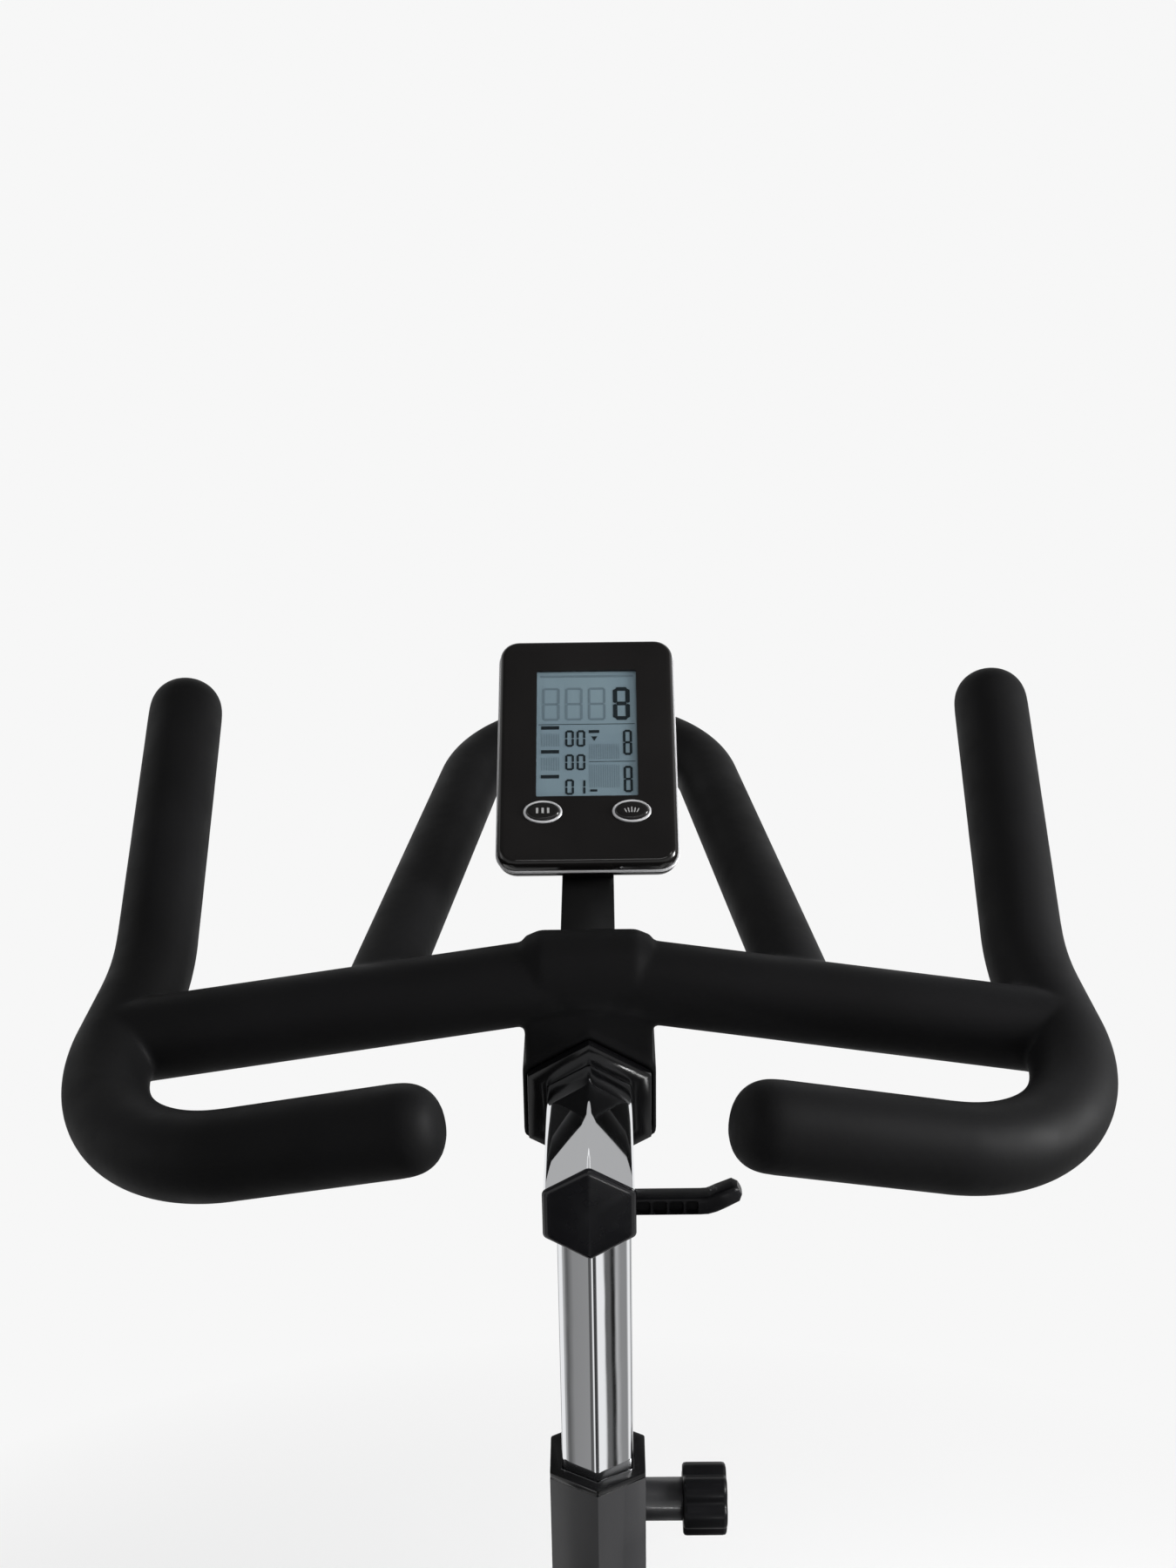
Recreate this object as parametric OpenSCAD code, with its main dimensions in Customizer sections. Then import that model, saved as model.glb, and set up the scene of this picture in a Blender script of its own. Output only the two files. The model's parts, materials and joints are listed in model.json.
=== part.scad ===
// Spin-style exercise bike: a welded steel frame, a belt-driven flywheel with a screw-down
// brake, and a handlebar and a saddle that each slide on a hexagonal post and slider.
// +X is the rider's right, +Y is forward and +Z is up. The floor is at z = 0, and the
// origin lies on the floor below the middle of the bike's overall length and width.

/* [Floor stand] */
// Width of the bike over the stabilisers' end caps
base_w = 520; // [460:5:600]
// Depth of a stabiliser tube, front to back
stab_d = 70; // [56:1:90]
// Height of a stabiliser tube
stab_h = 40; // [32:1:52]
// Height of a stabiliser tube's underside above the floor
stab_lift = 25; // [20:1:36]
// Front stabiliser's centre line, forward of the origin
front_stab_y = 400; // [370:5:430]
// Length of a stabiliser end cap along the tube
cap_len = 32; // [24:1:44]
// Wall of a stabiliser end cap
cap_wall = 2.5; // [1.5:0.5:4]
// Distance of the levelling feet in from the end caps' outer faces
foot_inset = 55; // [50:1:65]
// Radius of a levelling foot's pad
foot_r = 22; // [16:1:26]
// Height of a levelling foot's pad
foot_h = 10; // [7:1:14]
// Radius of a levelling foot's stud
stud_r = 5; // [4:0.5:6]
// Distance of the transport wheels from the middle plane
caster_x = 150; // [110:5:160]
// Radius of a transport wheel
caster_r = 30; // [24:1:34]
// Width of a transport wheel
caster_w = 24; // [18:1:30]

/* [Frame] */
// Wall of the frame's tubes
frame_wall = 2.5; // [2:0.5:4]
// Width of the main beam
beam_w = 50; // [44:1:56]
// Depth of the main beam
beam_h = 72; // [62:1:80]
// Axis of the head tube and the handlebar post, forward of the origin
head_y = 273; // [265:1:285]
// Top of the head tube above the floor
head_top = 740; // [700:5:780]
// Gap between the flywheel's top and the fork crown's underside
crown_gap = 20; // [16:1:40]
// Height of the fork crown
crown_h = 25; // [20:1:35]
// Width of a fork leg, seen from the front
leg_w = 24; // [20:1:26]
// Depth of a fork leg, seen from the side
leg_d = 50; // [42:1:58]
// Gap between the two fork legs
fork_gap = 66; // [62:1:68]
// Height at which the main beam's axis meets the head tube
beam_head_z = 605; // [595:1:620]
// Crank axle, forward of the origin
crank_y = -80; // [-100:5:-60]
// Crank axle above the floor
crank_z = 315; // [305:1:325]
// Slope of the seat tube from the horizontal, in degrees
seat_angle = 72; // [70:0.5:74]
// Distance from the crank axle to the seat tube's top, along the tube
seat_tube_top = 415; // [380:5:450]
// Radius of the bottom bracket shell
bb_r = 24; // [21:1:28]
// Length of the bottom bracket shell
bb_len = 100; // [90:1:106]

/* [Posts and sliders] */
// Distance from the seat tube's top to the saddle slider's axis, along the tube
saddle_post_rise = 212; // [190:2:216]
// Width across the flats of both posts
post_af = 42; // [38:0.5:43]
// Width across the flats of both sliders
slider_af = 40.4; // [38:0.4:41.2]
// Wall of the posts and sliders
post_wall = 2.5; // [1.5:0.5:4]
// Width across the flats of the head tube and seat tube
socket_af = 56; // [54:0.5:60]
// Clearance on each side of a post or slider in its bushing
slide_gap = 0.05; // [0.03:0.01:0.1]
// Length of a post bushing
bushing_len = 60; // [45:1:70]
// Height of a post bushing's lip
lip_h = 4; // [2:0.5:8]
// Spacing of the holes along a post
hole_step = 20; // [16:1:30]
// Number of holes in a post
hole_count = 5; // [3:1:6]
// Radius of a hole in a post
hole_r = 5.5; // [5:0.25:6.5]
// Length of the handlebar post below its slider's axis
bar_post_len = 412; // [395:1:425]
// Length of the saddle post below its slider's axis
saddle_post_len = 362; // [330:5:390]
// Radius of a pull pin's tip
pin_r = 4.5; // [3.5:0.25:4.75]
// Radius of a pull pin's knob
pin_knob_r = 21; // [16:1:26]
// Gap between a pull pin's tip and the post
pin_gap = 0.3; // [0.3:0.1:1]

/* [Handlebar] */
// Height of the crossbar's middle above the floor
bar_z = 1120; // [1090:5:1150]
// Distance from the post's axis back to the crossbar
bar_back = 103; // [96:1:112]
// Diameter of the coated handlebar tube
bar_d = 40; // [34:1:42]
// Distance of a side tube's front bend from the middle plane
bar_half = 215; // [205:1:225]
// How far a side tube's rear bend stands outside its front bend
rear_flare = 22; // [14:1:28]
// How far the crossbar sweeps back at its ends
bar_sweep = 20; // [12:1:28]
// Distance of a lower grip's end from the middle plane
grip_in_x = 80; // [74:1:90]
// Distance of a lower grip's end behind the crossbar's middle
grip_back = 137; // [132:1:142]
// Distance of the rear bend behind the crossbar's middle
rear_corner_back = 107; // [102:1:112]
// Drop of the rear bend below the crossbar's middle
rear_corner_drop = 42; // [36:1:46]
// Distance of the front bend ahead of the crossbar's middle
front_corner_fwd = 29; // [24:1:36]
// Drop of the front bend below the crossbar's middle
front_corner_drop = 13; // [8:1:18]
// Centre-line radius of the rear bend
rear_bend = 84; // [76:1:88]
// Centre-line radius of the front bend
front_bend = 157; // [120:1:180]
// Height of a horn's tip above the crossbar's middle
horn_rise = 59; // [45:1:75]
// Distance of a horn's tip forward of the crossbar's middle
horn_reach = 195; // [180:1:210]
// How far a horn's tip stands outside the front bend
horn_flare = 7; // [0:1:14]
// Diameter of the front loop's tube
loop_d = 34; // [30:1:36]
// Half the gap between the loop's two roots
loop_half = 103; // [96:1:108]
// Half the width of the loop at its front, where its legs meet the rounded end
loop_front_half = 57; // [50:1:64]
// Reach of the loop from the crossbar, along its own slope
loop_reach = 265; // [250:1:280]
// Slope of the loop above the horizontal, in degrees
loop_slope = 7.5; // [4:0.5:11]

/* [Handlebar slider] */
// Drop from the crossbar's axis to the slider's axis
slider_drop = 59; // [57:0.5:60]
// Distance of the slider's rear end behind the crossbar's axis
slider_back = 112; // [105:1:120]
// Width across the flats of the sleeve
sleeve_af = 64; // [60:0.5:67]
// Length of the sleeve
sleeve_len = 62; // [54:1:64]
// Distance of the sleeve's rear face behind the crossbar's axis
sleeve_back = 20; // [16:1:24]
// Wall of the sleeve
sleeve_wall = 2.5; // [2:0.5:4.5]
// Radius of the collar round the crossbar's middle
collar_r = 21.5; // [21.5:0.5:25]
// Width of the collar's cylindrical part
collar_w = 46; // [38:1:52]
// Width of the collar at its base
collar_base_w = 61; // [56:1:70]
// Thickness of a slider's end cap
end_cap_t = 4; // [3:0.5:8]
// Length of an end cap's plug inside the slider
end_cap_plug = 12; // [6:1:20]
// Extra width across the flats of an end cap
end_cap_over = 1.2; // [0.8:0.2:3]
// Radius of the clamp lever's stud
clamp_stud_r = 5; // [4:0.5:6]
// Radius of the clamp lever's hub
lever_hub_r = 12; // [10:0.5:14]
// Reach of the clamp lever from its stud
lever_reach = 76; // [66:1:84]

/* [Console] */
// Width of the console
console_w = 91; // [84:1:96]
// Length of the console along its face
console_len = 138; // [130:1:144]
// Thickness of the console at its edges
console_t = 16; // [14:0.5:20]
// Corner radius of the console
console_corner = 10; // [6:0.5:14]
// Slope of the console's face from the horizontal, in degrees
console_slope = 34.5; // [28:0.5:40]
// Distance of the face's lower edge forward of the crossbar's middle
console_y = 58; // [56:1:66]
// Height of the face's lower edge above the crossbar's middle
console_z = 31; // [30:1:36]
// Width of the display window
window_w = 52; // [44:1:56]
// Length of the display window
window_len = 78; // [70:1:80]
// Distance from the console's lower edge to the window
window_low = 40; // [38:1:44]
// Distance of a button's centre from the console's lower edge
button_v = 30.5; // [29:0.5:31.5]
// Distance of a button's centre from the middle of the console
button_x = 22.5; // [20:0.5:26]
// Half the width of an oval button
button_a = 8.4; // [7:0.2:9]
// Half the height of an oval button
button_b = 5.2; // [4:0.2:5.6]
// Width of the console's neck strap
neck_w = 26; // [20:1:32]
// Thickness of the console's neck strap
neck_t = 4; // [3:0.5:5]

/* [Drive] */
// Flywheel axle above the floor
axle_z = 300; // [290:1:308]
// Outer radius of the flywheel
fly_r = 200; // [185:1:204]
// Thickness of the flywheel's rim
rim_t = 24; // [16:1:30]
// Radial depth of the flywheel's rim
rim_depth = 35; // [25:1:50]
// Thickness of the flywheel's web
web_t = 12; // [8:1:14]
// Radius of the flywheel's axle
axle_r = 8.5; // [7:0.5:10]
// Outer radius of a flywheel bearing
bearing_r = 17.5; // [15:0.5:19]
// Running clearance on the radius of an axle in its bore
run_gap = 0.05; // [0.03:0.01:0.08]
// Middle of the drive belt from the middle plane
belt_x = 72; // [71:0.5:73]
// Width of the drive belt
belt_w = 12; // [8:1:13]
// Thickness of the drive belt
belt_t = 3; // [2:0.5:4]
// Gap between the belt and a pulley
belt_gap = 0.3; // [0.3:0.1:0.6]
// Radius of the crank pulley
crank_pulley_r = 90; // [80:1:96]
// Radius of the flywheel pulley
fly_pulley_r = 36; // [30:1:40]
// Wall of the belt guard
guard_wall = 2.5; // [2:0.5:4]
// Gap between the belt and the guard's rim wall
guard_gap = 8; // [5:1:12]
// Radius of the crank axle
crank_axle_r = 10; // [8:0.5:12]
// Length of a crank arm between its axle and the pedal
crank_len = 170; // [160:1:175]
// Thickness of a crank arm
crank_t = 14; // [11:1:16]
// Inner face of a crank arm from the middle plane
crank_x = 92; // [90:1:98]

/* [Pedals] */
// Width of a pedal along its spindle
pedal_w = 92; // [80:1:105]
// Length of a pedal, front to back
pedal_len = 88; // [76:1:96]
// Height of a pedal's body
pedal_h = 26; // [22:1:32]
// Gap between a crank arm and the pedal
pedal_gap = 6; // [4:0.5:10]
// Radius of a pedal spindle
spindle_r = 6; // [5:0.5:7.5]
// Reach of the toe cage in front of the pedal
cage_reach = 62; // [50:1:70]
// Height of the toe cage above the pedal
cage_h = 66; // [55:1:75]
// Thickness of the toe cage's bands
cage_t = 3; // [2:0.5:5]

/* [Brake] */
// Gap between the brake pad and the flywheel
brake_gap = 3; // [2.5:0.5:4]
// Thickness of the brake pad
pad_t = 8; // [6:0.5:10]
// Radius of the brake rod
rod_r = 6; // [5:0.5:8]
// Radius of the brake knob
knob_r = 27; // [22:1:32]
// Height of the brake knob
knob_h = 34; // [26:1:42]

/* [Saddle] */
// Length of the saddle
saddle_len = 265; // [250:5:285]
// Width of the saddle at its rear
saddle_w = 190; // [170:5:210]
// Width of the saddle's nose
nose_w = 52; // [44:1:62]
// Thickness of the saddle pad
pad_h = 42; // [32:1:52]
// Height of the saddle shell
shell_h = 8; // [6:0.5:12]
// Distance of the saddle slider's rear end behind the post
saddle_slider_back = 180; // [170:5:195]
// Distance of the saddle's middle behind the post
saddle_set_back = 85; // [80:1:90]
// Length of the saddle's carrier on its slider
carrier_len = 70; // [60:2:76]
// Distance from the saddle slider's axis up to the rails
rail_rise = 62; // [58:1:70]
// Radius of a saddle rail
rail_r = 3.5; // [3:0.25:4.5]
// Distance of a rail from the middle plane
rail_x = 22; // [19:0.5:26]

/* [Hidden] */

$fn = 96;
eps = 0.01;
far = 2000;
bend_over = 0.05;

black = [0.09, 0.09, 0.1];
coating = [0.12, 0.12, 0.13];
chrome = [0.8, 0.81, 0.83];
steel = [0.6, 0.61, 0.63];
rubber = [0.06, 0.06, 0.06];
plastic = [0.14, 0.14, 0.15];
felt = [0.35, 0.33, 0.3];
lcd = [0.6, 0.68, 0.7];
clear = [0.8, 0.85, 0.88, 0.4];

// Stabilisers
stab_r = 14;
stud_inside = 8;
foot_nut_h = 5;
stab_z = stab_lift + stab_h / 2;
foot_x = base_w / 2 - foot_inset;
cap_d = stab_d + 2 * cap_wall;
caster_axle = [front_stab_y + stab_d / 2 + caster_r + 4, stab_z];
caster_bolt_r = 5;
caster_side_gap = 1;
ear_t = 4;
ear_r = 13;

// Fork: its centre line runs from the crown to the front stabiliser
crown_z = axle_z + fly_r + crown_gap;
crown_fwd = 8;
crown_over = 24;
crown_corner = 8;
crown_mid = [head_y + crown_fwd, crown_z + crown_h / 2];
leg_foot = [front_stab_y, stab_z];
leg_corner = 6;
boss_proud = 1;
leg_x = (fork_gap + leg_w) / 2;
axle_y = crown_mid.x + (leg_foot.x - crown_mid.x) * (crown_mid.y - axle_z) / (crown_mid.y - leg_foot.y);
axle = [axle_y, axle_z];
fork_w = fork_gap + 2 * leg_w;

// The rear stabiliser reaches as far back as the flywheel reaches forward
half_len = axle_y + fly_r;
rear_stab_y = -half_len + cap_d / 2;

// Main beam, from the rear stabiliser to the head tube
beam_foot = [rear_stab_y, stab_lift + stab_h];
beam_corner = 8;
beam_head = [head_y, beam_head_z];
beam_dir = (beam_head - beam_foot) / norm(beam_head - beam_foot);
beam_up = [-beam_dir.y, beam_dir.x];
beam_angle = atan2(beam_dir.y, beam_dir.x);

// Seat tube
crank = [crank_y, crank_z];
seat_dir = [-cos(seat_angle), sin(seat_angle)];
seat_tilt = 90 - seat_angle;

// Posts in their bushings
bushing_bore = post_af + 2 * slide_gap;
slider_bore = slider_af + 2 * slide_gap;
bushing_af = socket_af - 2 * frame_wall;
slider_z = bar_z - slider_drop;
bar_y = head_y - bar_back;
slider_rear = bar_y - slider_back;
saddle_axis_s = seat_tube_top + saddle_post_rise;
saddle_axis = crank + seat_dir * saddle_axis_s;
pin_drop = bushing_len / 2;
boss_len = 22;
boss_r = pin_r + 8;
pin_knob_w = 26;
flute_r = 6;
pin_bore = pin_r + run_gap;
plug_gap = 0.05;

// Handlebar, each point from the crossbar's middle, for the right side
bar_r = bar_d / 2;
grip_end = [grip_in_x, -grip_back, 0];
rear_corner = [bar_half + rear_flare, -rear_corner_back, -rear_corner_drop];
front_corner = [bar_half, front_corner_fwd, -front_corner_drop];
horn_tip = [bar_half + horn_flare, horn_reach, horn_rise];
join_share = (-bar_sweep - rear_corner.y) / (front_corner.y - rear_corner.y);
bar_end = rear_corner + (front_corner - rear_corner) * join_share;
loop_r = loop_d / 2;
loop_root = bar_end * (loop_half / bar_end.x);
loop_end = [
    loop_front_half,
    loop_root.y + loop_reach * cos(loop_slope),
    loop_root.z + loop_reach * sin(loop_slope)
];
loop_turn = acos((loop_half - loop_front_half) / norm(loop_end - loop_root));
loop_bend = 0.99 * loop_front_half / tan(loop_turn / 2);

// Sleeve and its bushing on the handlebar slider
sleeve_bore = sleeve_af - 2 * sleeve_wall;
sleeve_y = bar_y - sleeve_back;
lining_proud = 4;
lever_inset = 14;
lever_y = sleeve_y + lever_inset;
sleeve_low = slider_z - sleeve_af / sqrt(3);
nut_h = 10;
nut_sink = 4;
lever_gap = 0.4;
nut_r = clamp_stud_r + 6;

// Console, measured along its face (u across, v up the slope, w out of the face)
front_t = 7;
case_wall = 2.5;
case_back_t = 2;
case_face_t = 2;
neck_lap = 62;
glass_t = 1.5;
panel_t = 3;
button_gap = 0.35;
button_proud = 1.6;
button_len = 6;

// Drive
pulley_w = belt_w + 3;
drive_reach = norm(axle - crank);
drive_angle = atan2(axle.y - crank.y, axle.x - crank.x);
guard_x0 = fork_w / 2 + 1.5;
guard_x1 = crank_x - 4;
guard_boss_gap = 62;
beam_near_crank = (crank - beam_foot) * beam_dir;
hub_r = 32;
hub_side_gap = 8;
crank_eye_r = crank_axle_r + 10;
pedal_eye_r = spindle_r + 8;
hub_w = fork_gap - 2 * hub_side_gap;

// Brake, along the beam's normal through the flywheel's axle
beam_gap = (beam_foot - axle) * beam_up;
shoe_t = 8;
shoe_w = 32;
shoe_len = 64;
rod_deep = 4;
guide_low = beam_gap - beam_h / 2 - 6;
guide_top = beam_gap + beam_h / 2 + 10;
guide_r = rod_r + 7;
knob_low = guide_top + brake_gap + 1;

// Saddle
shell_rise = 14;
rail_end_gap = 30;
rail_slant = 24;
rail_bend = 14;
tail_r = 57;
waist_fwd = 16;
block_h = 20;
block_len = 40;
block_wall = 8;
stem_w = 28;
saddle_y = saddle_axis.x - saddle_set_back;
saddle_slider_rear = saddle_axis.x - saddle_slider_back;
saddle_slider_front = saddle_axis.x + post_af / sqrt(3) / cos(seat_tilt) + 4;
rail_z = saddle_axis.y + rail_rise;
shell_z = rail_z + shell_rise;

// Solid rod from a to b
module rod(a, b, r) {
    d = b - a;
    translate(a) rotate([0, acos(d.z / norm(d)), atan2(d.y, d.x)]) cylinder(r = r, h = norm(d));
}

// Rod along X from x0 to x1 through the point p = [y, z]
module cross_rod(x0, x1, r, p) {
    translate([x0, p.x, p.y]) rotate([0, 90, 0]) cylinder(r = r, h = x1 - x0);
}

// Bend of a rod at corner p, from direction d0 to d1, with centre-line radius bend. It is thicker
// than the straight rods by a hair, so that their ends lie inside it.
module elbow(p, d0, d1, bend, r) {
    turn = acos(d0 * d1);
    n = cross(d0, d1) / norm(cross(d0, d1));
    out = cross(d0, n);
    c = p - d0 * bend * tan(turn / 2) - out * bend;
    multmatrix([
        [out.x, d0.x, n.x, c.x],
        [out.y, d0.y, n.y, c.y],
        [out.z, d0.z, n.z, c.z],
        [0, 0, 0, 1]
    ]) rotate_extrude(angle = turn) translate([bend, 0]) circle(r = r + bend_over);
}

// Rod through the points, rounded at each inner point with the radius listed for it
module bent_rod(points, bends, r) {
    last = len(points) - 1;
    dirs = [for (i = [0 : last - 1]) (points[i + 1] - points[i]) / norm(points[i + 1] - points[i])];
    cuts = [for (i = [0 : last])
        i == 0 || i == last ? 0 : bends[i - 1] * tan(acos(dirs[i - 1] * dirs[i]) / 2)];
    lap = [for (i = [0 : last]) i == 0 || i == last ? 0 : 1];
    starts = [for (i = [0 : last - 1]) points[i] + dirs[i] * (cuts[i] - lap[i])];
    ends = [for (i = [0 : last - 1]) points[i + 1] - dirs[i] * (cuts[i + 1] - lap[i + 1])];
    for (i = [0 : last - 1]) rod(starts[i], ends[i], r);
    for (i = [1 : last - 1])
        elbow(points[i], dirs[i - 1], dirs[i], bends[i - 1], r);
}

// Hexagonal bar along +Z with corners towards +Y and -Y; af is its width across the flats
module hex_bar(af, h) {
    rotate([0, 0, 30]) cylinder(r = af / sqrt(3), h = h, $fn = 6);
}

// Hexagonal bar along +Y with corners up and down, from y0 to y1 at height z
module hex_slide(af, y0, y1, z) {
    translate([0, y0, z]) rotate([-90, 0, 0]) hex_bar(af, y1 - y0);
}

// Rectangle with rounded corners, centred on the origin
module rounded(w, h, r) {
    square([w - 2 * r, h], center = true);
    square([w, h - 2 * r], center = true);
    for (x = [-1, 1], y = [-1, 1])
        translate([x * (w / 2 - r), y * (h / 2 - r)]) circle(r = r);
}

// Square-edged bar from a to b in the plane X = 0, w wide and h deep, with corner radius r
module beam(a, b, w, h, r) {
    translate([0, a.x, a.y]) rotate([atan2(b.y - a.y, b.x - a.x) - 90, 0, 0])
        linear_extrude(norm(b - a)) rounded(w, h, r);
}

// Extrudes a side view, drawn in [y, z], from x0 to x1
module side_plate(x0, x1) {
    translate([x0, 0, 0]) rotate([90, 0, 90]) linear_extrude(x1 - x0) children();
}

// Outline round a circle at the origin and another at [reach, 0], with their outer tangents,
// which lie inside the circles by a hair so that they cross them
module belt_shape(r1, r2, reach) {
    lean = asin((r1 - r2) / reach);
    a = (r1 - bend_over) * [sin(lean), cos(lean)];
    b = (r2 - bend_over) * [sin(lean), cos(lean)] + [reach, 0];
    circle(r = r1);
    translate([reach, 0]) circle(r = r2);
    polygon([[a.x, -a.y], [b.x, -b.y], b, a]);
}

// Side view of the belt's run, widened by grow
module drive_shape(grow) {
    translate(crank) rotate(drive_angle)
        belt_shape(crank_pulley_r + grow, fly_pulley_r + grow, drive_reach);
}

// Moves children from the post's own frame to the seat tube's, s along it from the crank axle
module on_seat_axis(s) {
    p = crank + seat_dir * s;
    translate([0, p.x, p.y]) rotate([seat_tilt, 0, 0]) children();
}

// Moves children to the brake's axis, s out from the flywheel's axle
module on_brake_axis(s) {
    p = axle + beam_up * s;
    translate([0, p.x, p.y]) rotate([beam_angle, 0, 0]) children();
}

// Moves children to the console's face
module on_console() {
    translate([0, bar_y + console_y, bar_z + console_z]) rotate([console_slope, 0, 0]) children();
}

// Moves children to the crossbar's middle
module on_bar() {
    translate([0, bar_y, bar_z]) children();
}

// Hollow hexagonal socket tube with a boss on its right side for a pull pin
module socket(h, pin_z) {
    difference() {
        union() {
            hex_bar(socket_af, h);
            translate([socket_af / 2 - frame_wall, 0, pin_z]) rotate([0, 90, 0])
                cylinder(r = boss_r, h = boss_len + frame_wall);
        }
        translate([0, 0, -eps]) hex_bar(bushing_af, h + 2 * eps);
        translate([0, 0, pin_z]) rotate([0, 90, 0]) cylinder(r = pin_bore, h = far);
    }
}

// Bushing that lines the top of a socket, with a lip on its rim and a hole for the pin
module post_bushing(pin_z) {
    difference() {
        union() {
            translate([0, 0, -bushing_len]) hex_bar(bushing_af, bushing_len);
            hex_bar(socket_af, lip_h);
        }
        translate([0, 0, -bushing_len - eps]) hex_bar(bushing_bore, bushing_len + lip_h + 2 * eps);
        translate([0, 0, pin_z]) rotate([0, 90, 0]) cylinder(r = pin_bore, h = far);
    }
}

// Row of holes in a post's right side, the lowest at z = 0
module post_holes() {
    for (i = [0 : hole_count - 1])
        translate([0, 0, i * hole_step]) rotate([0, 90, 0]) cylinder(r = hole_r, h = post_af);
}

// Pull pin with a knob, pointing at a post from the right
module pull_pin() {
    tip = post_af / 2 + pin_gap;
    knob = socket_af / 2 + boss_len + pin_gap;
    translate([tip, 0, 0]) rotate([0, 90, 0]) cylinder(r = pin_r, h = knob - tip + pin_knob_w / 2);
    translate([knob, 0, 0]) rotate([0, 90, 0]) difference() {
        cylinder(r = pin_knob_r, h = pin_knob_w);
        for (a = [0 : 60 : 300])
            rotate([0, 0, a]) translate([pin_knob_r + flute_r / 2, 0, -eps])
                cylinder(r = flute_r, h = pin_knob_w + 2 * eps);
    }
}

// End cap of a slider that ends at y: a hexagonal plate behind it and a plug inside it
module slider_cap(y, z) {
    hex_slide(slider_af + end_cap_over, y - end_cap_t, y, z);
    hex_slide(slider_af - 2 * post_wall - 2 * plug_gap, y - eps, y + end_cap_plug, z);
}

module stabiliser_body(y, w, grow) {
    translate([-w / 2, y, stab_z]) rotate([90, 0, 90])
        linear_extrude(w) rounded(stab_d + 2 * grow, stab_h + 2 * grow, stab_r + grow);
}

// Hollow stabiliser tube with a threaded hole for each levelling foot
module stabiliser(y) {
    difference() {
        stabiliser_body(y, base_w - 2 * cap_wall, 0);
        stabiliser_body(y, base_w, -frame_wall);
        for (x = [-foot_x, foot_x])
            translate([x, y, 0]) cylinder(r = stud_r + run_gap, h = stab_z);
    }
}

// The main beam's full outline, its faces moved in by inset
module beam_solid(inset) {
    tail = beam_foot - beam_dir * beam_h;
    beam(tail, beam_head, beam_w - 2 * inset, beam_h - 2 * inset, beam_corner - inset);
}

module main_beam() {
    rear_face = rear_stab_y - stab_d / 2;
    color(black) difference() {
        beam_solid(0);
        difference() {
            beam_solid(frame_wall);
            translate([-far, rear_face, 0]) mirror([0, 1, 0]) translate([0, -frame_wall, 0]) cube(2 * far);
            translate([-far, -far, stab_z + frame_wall]) mirror([0, 0, 1]) cube(2 * far);
        }
        translate([-far, rear_face - far, 0]) cube([2 * far, far, far]);
        translate([-far, -far, stab_z - far]) cube([2 * far, 2 * far, far]);
        stabiliser_body(rear_stab_y, base_w, 0);
        translate([0, head_y, 0]) hex_bar(socket_af, far);
        translate([-far, head_y, 0]) cube(2 * far);
        on_brake_axis(guide_low) cylinder(r = guide_r, h = guide_top - guide_low);
        cross_rod(-bb_len / 2, bb_len / 2, bb_r, crank);
    }
}

module head_tube() {
    color(black) {
        translate([0, head_y, crown_z + crown_h])
            socket(head_top - crown_z - crown_h, head_top - pin_drop - crown_z - crown_h);
        translate([0, crown_mid.x, crown_z]) difference() {
            linear_extrude(crown_h) rounded(fork_w, leg_d + crown_over, crown_corner);
            translate([0, head_y - crown_mid.x, -eps]) hex_bar(bushing_af, crown_h + 2 * eps);
        }
    }
}

// Fork leg's full outline, its faces moved in by inset; side is -1 or 1
module leg_solid(side, inset) {
    translate([side * leg_x, 0, 0])
        beam(leg_foot, crown_mid, leg_w - 2 * inset, leg_d - 2 * inset, leg_corner - inset);
}

// Hollow fork leg with a boss that holds the flywheel's bearing
module fork_leg(side) {
    x0 = side * leg_x - leg_w / 2;
    color(black) difference() {
        union() {
            difference() {
                leg_solid(side, 0);
                leg_solid(side, frame_wall);
            }
            cross_rod(x0 - boss_proud, x0 + leg_w + boss_proud, bearing_r + 10, axle);
        }
        cross_rod(-far, far, bearing_r, axle);
        translate([-far, 0, crown_z]) cube([2 * far, far, far]);
        stabiliser_body(front_stab_y, base_w, 0);
    }
}

module fork_left() {
    fork_leg(-1);
}

module fork_right() {
    fork_leg(1);
}

module seat_tube() {
    pin_s = seat_tube_top - pin_drop;
    below = beam_up * beam_h;
    color(black) difference() {
        on_seat_axis(0) socket(seat_tube_top, pin_s);
        beam_solid(0);
        beam(beam_foot - below, beam_head - below, 2 * socket_af, 2 * beam_h, beam_corner);
    }
}

module bb_shell() {
    color(black) difference() {
        cross_rod(-bb_len / 2, bb_len / 2, bb_r, crank);
        cross_rod(-far, far, crank_axle_r + run_gap, crank);
    }
}

// Front stabiliser with a pair of ears for each transport wheel
module front_stabiliser() {
    ear_x = caster_w / 2 + caster_side_gap;
    color(black) difference() {
        union() {
            stabiliser(front_stab_y);
            for (side = [-1, 1], ear = [-1, 1])
                translate([side * caster_x + ear * (ear_x + ear_t / 2) - ear_t / 2, 0, 0])
                    side_plate(0, ear_t) ear_shape();
        }
        stabiliser_body(front_stab_y, base_w - 2 * cap_wall - 2 * cap_len, -frame_wall);
        cross_rod(-far, far, caster_bolt_r, caster_axle);
    }
}

// Side view of a transport wheel's ear
module ear_shape() {
    translate([front_stab_y, stab_z - ear_r + bend_over])
        square([caster_axle.x - front_stab_y, 2 * (ear_r - bend_over)]);
    translate(caster_axle) circle(r = ear_r);
}

module rear_stabiliser() {
    color(black) stabiliser(rear_stab_y);
}

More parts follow.
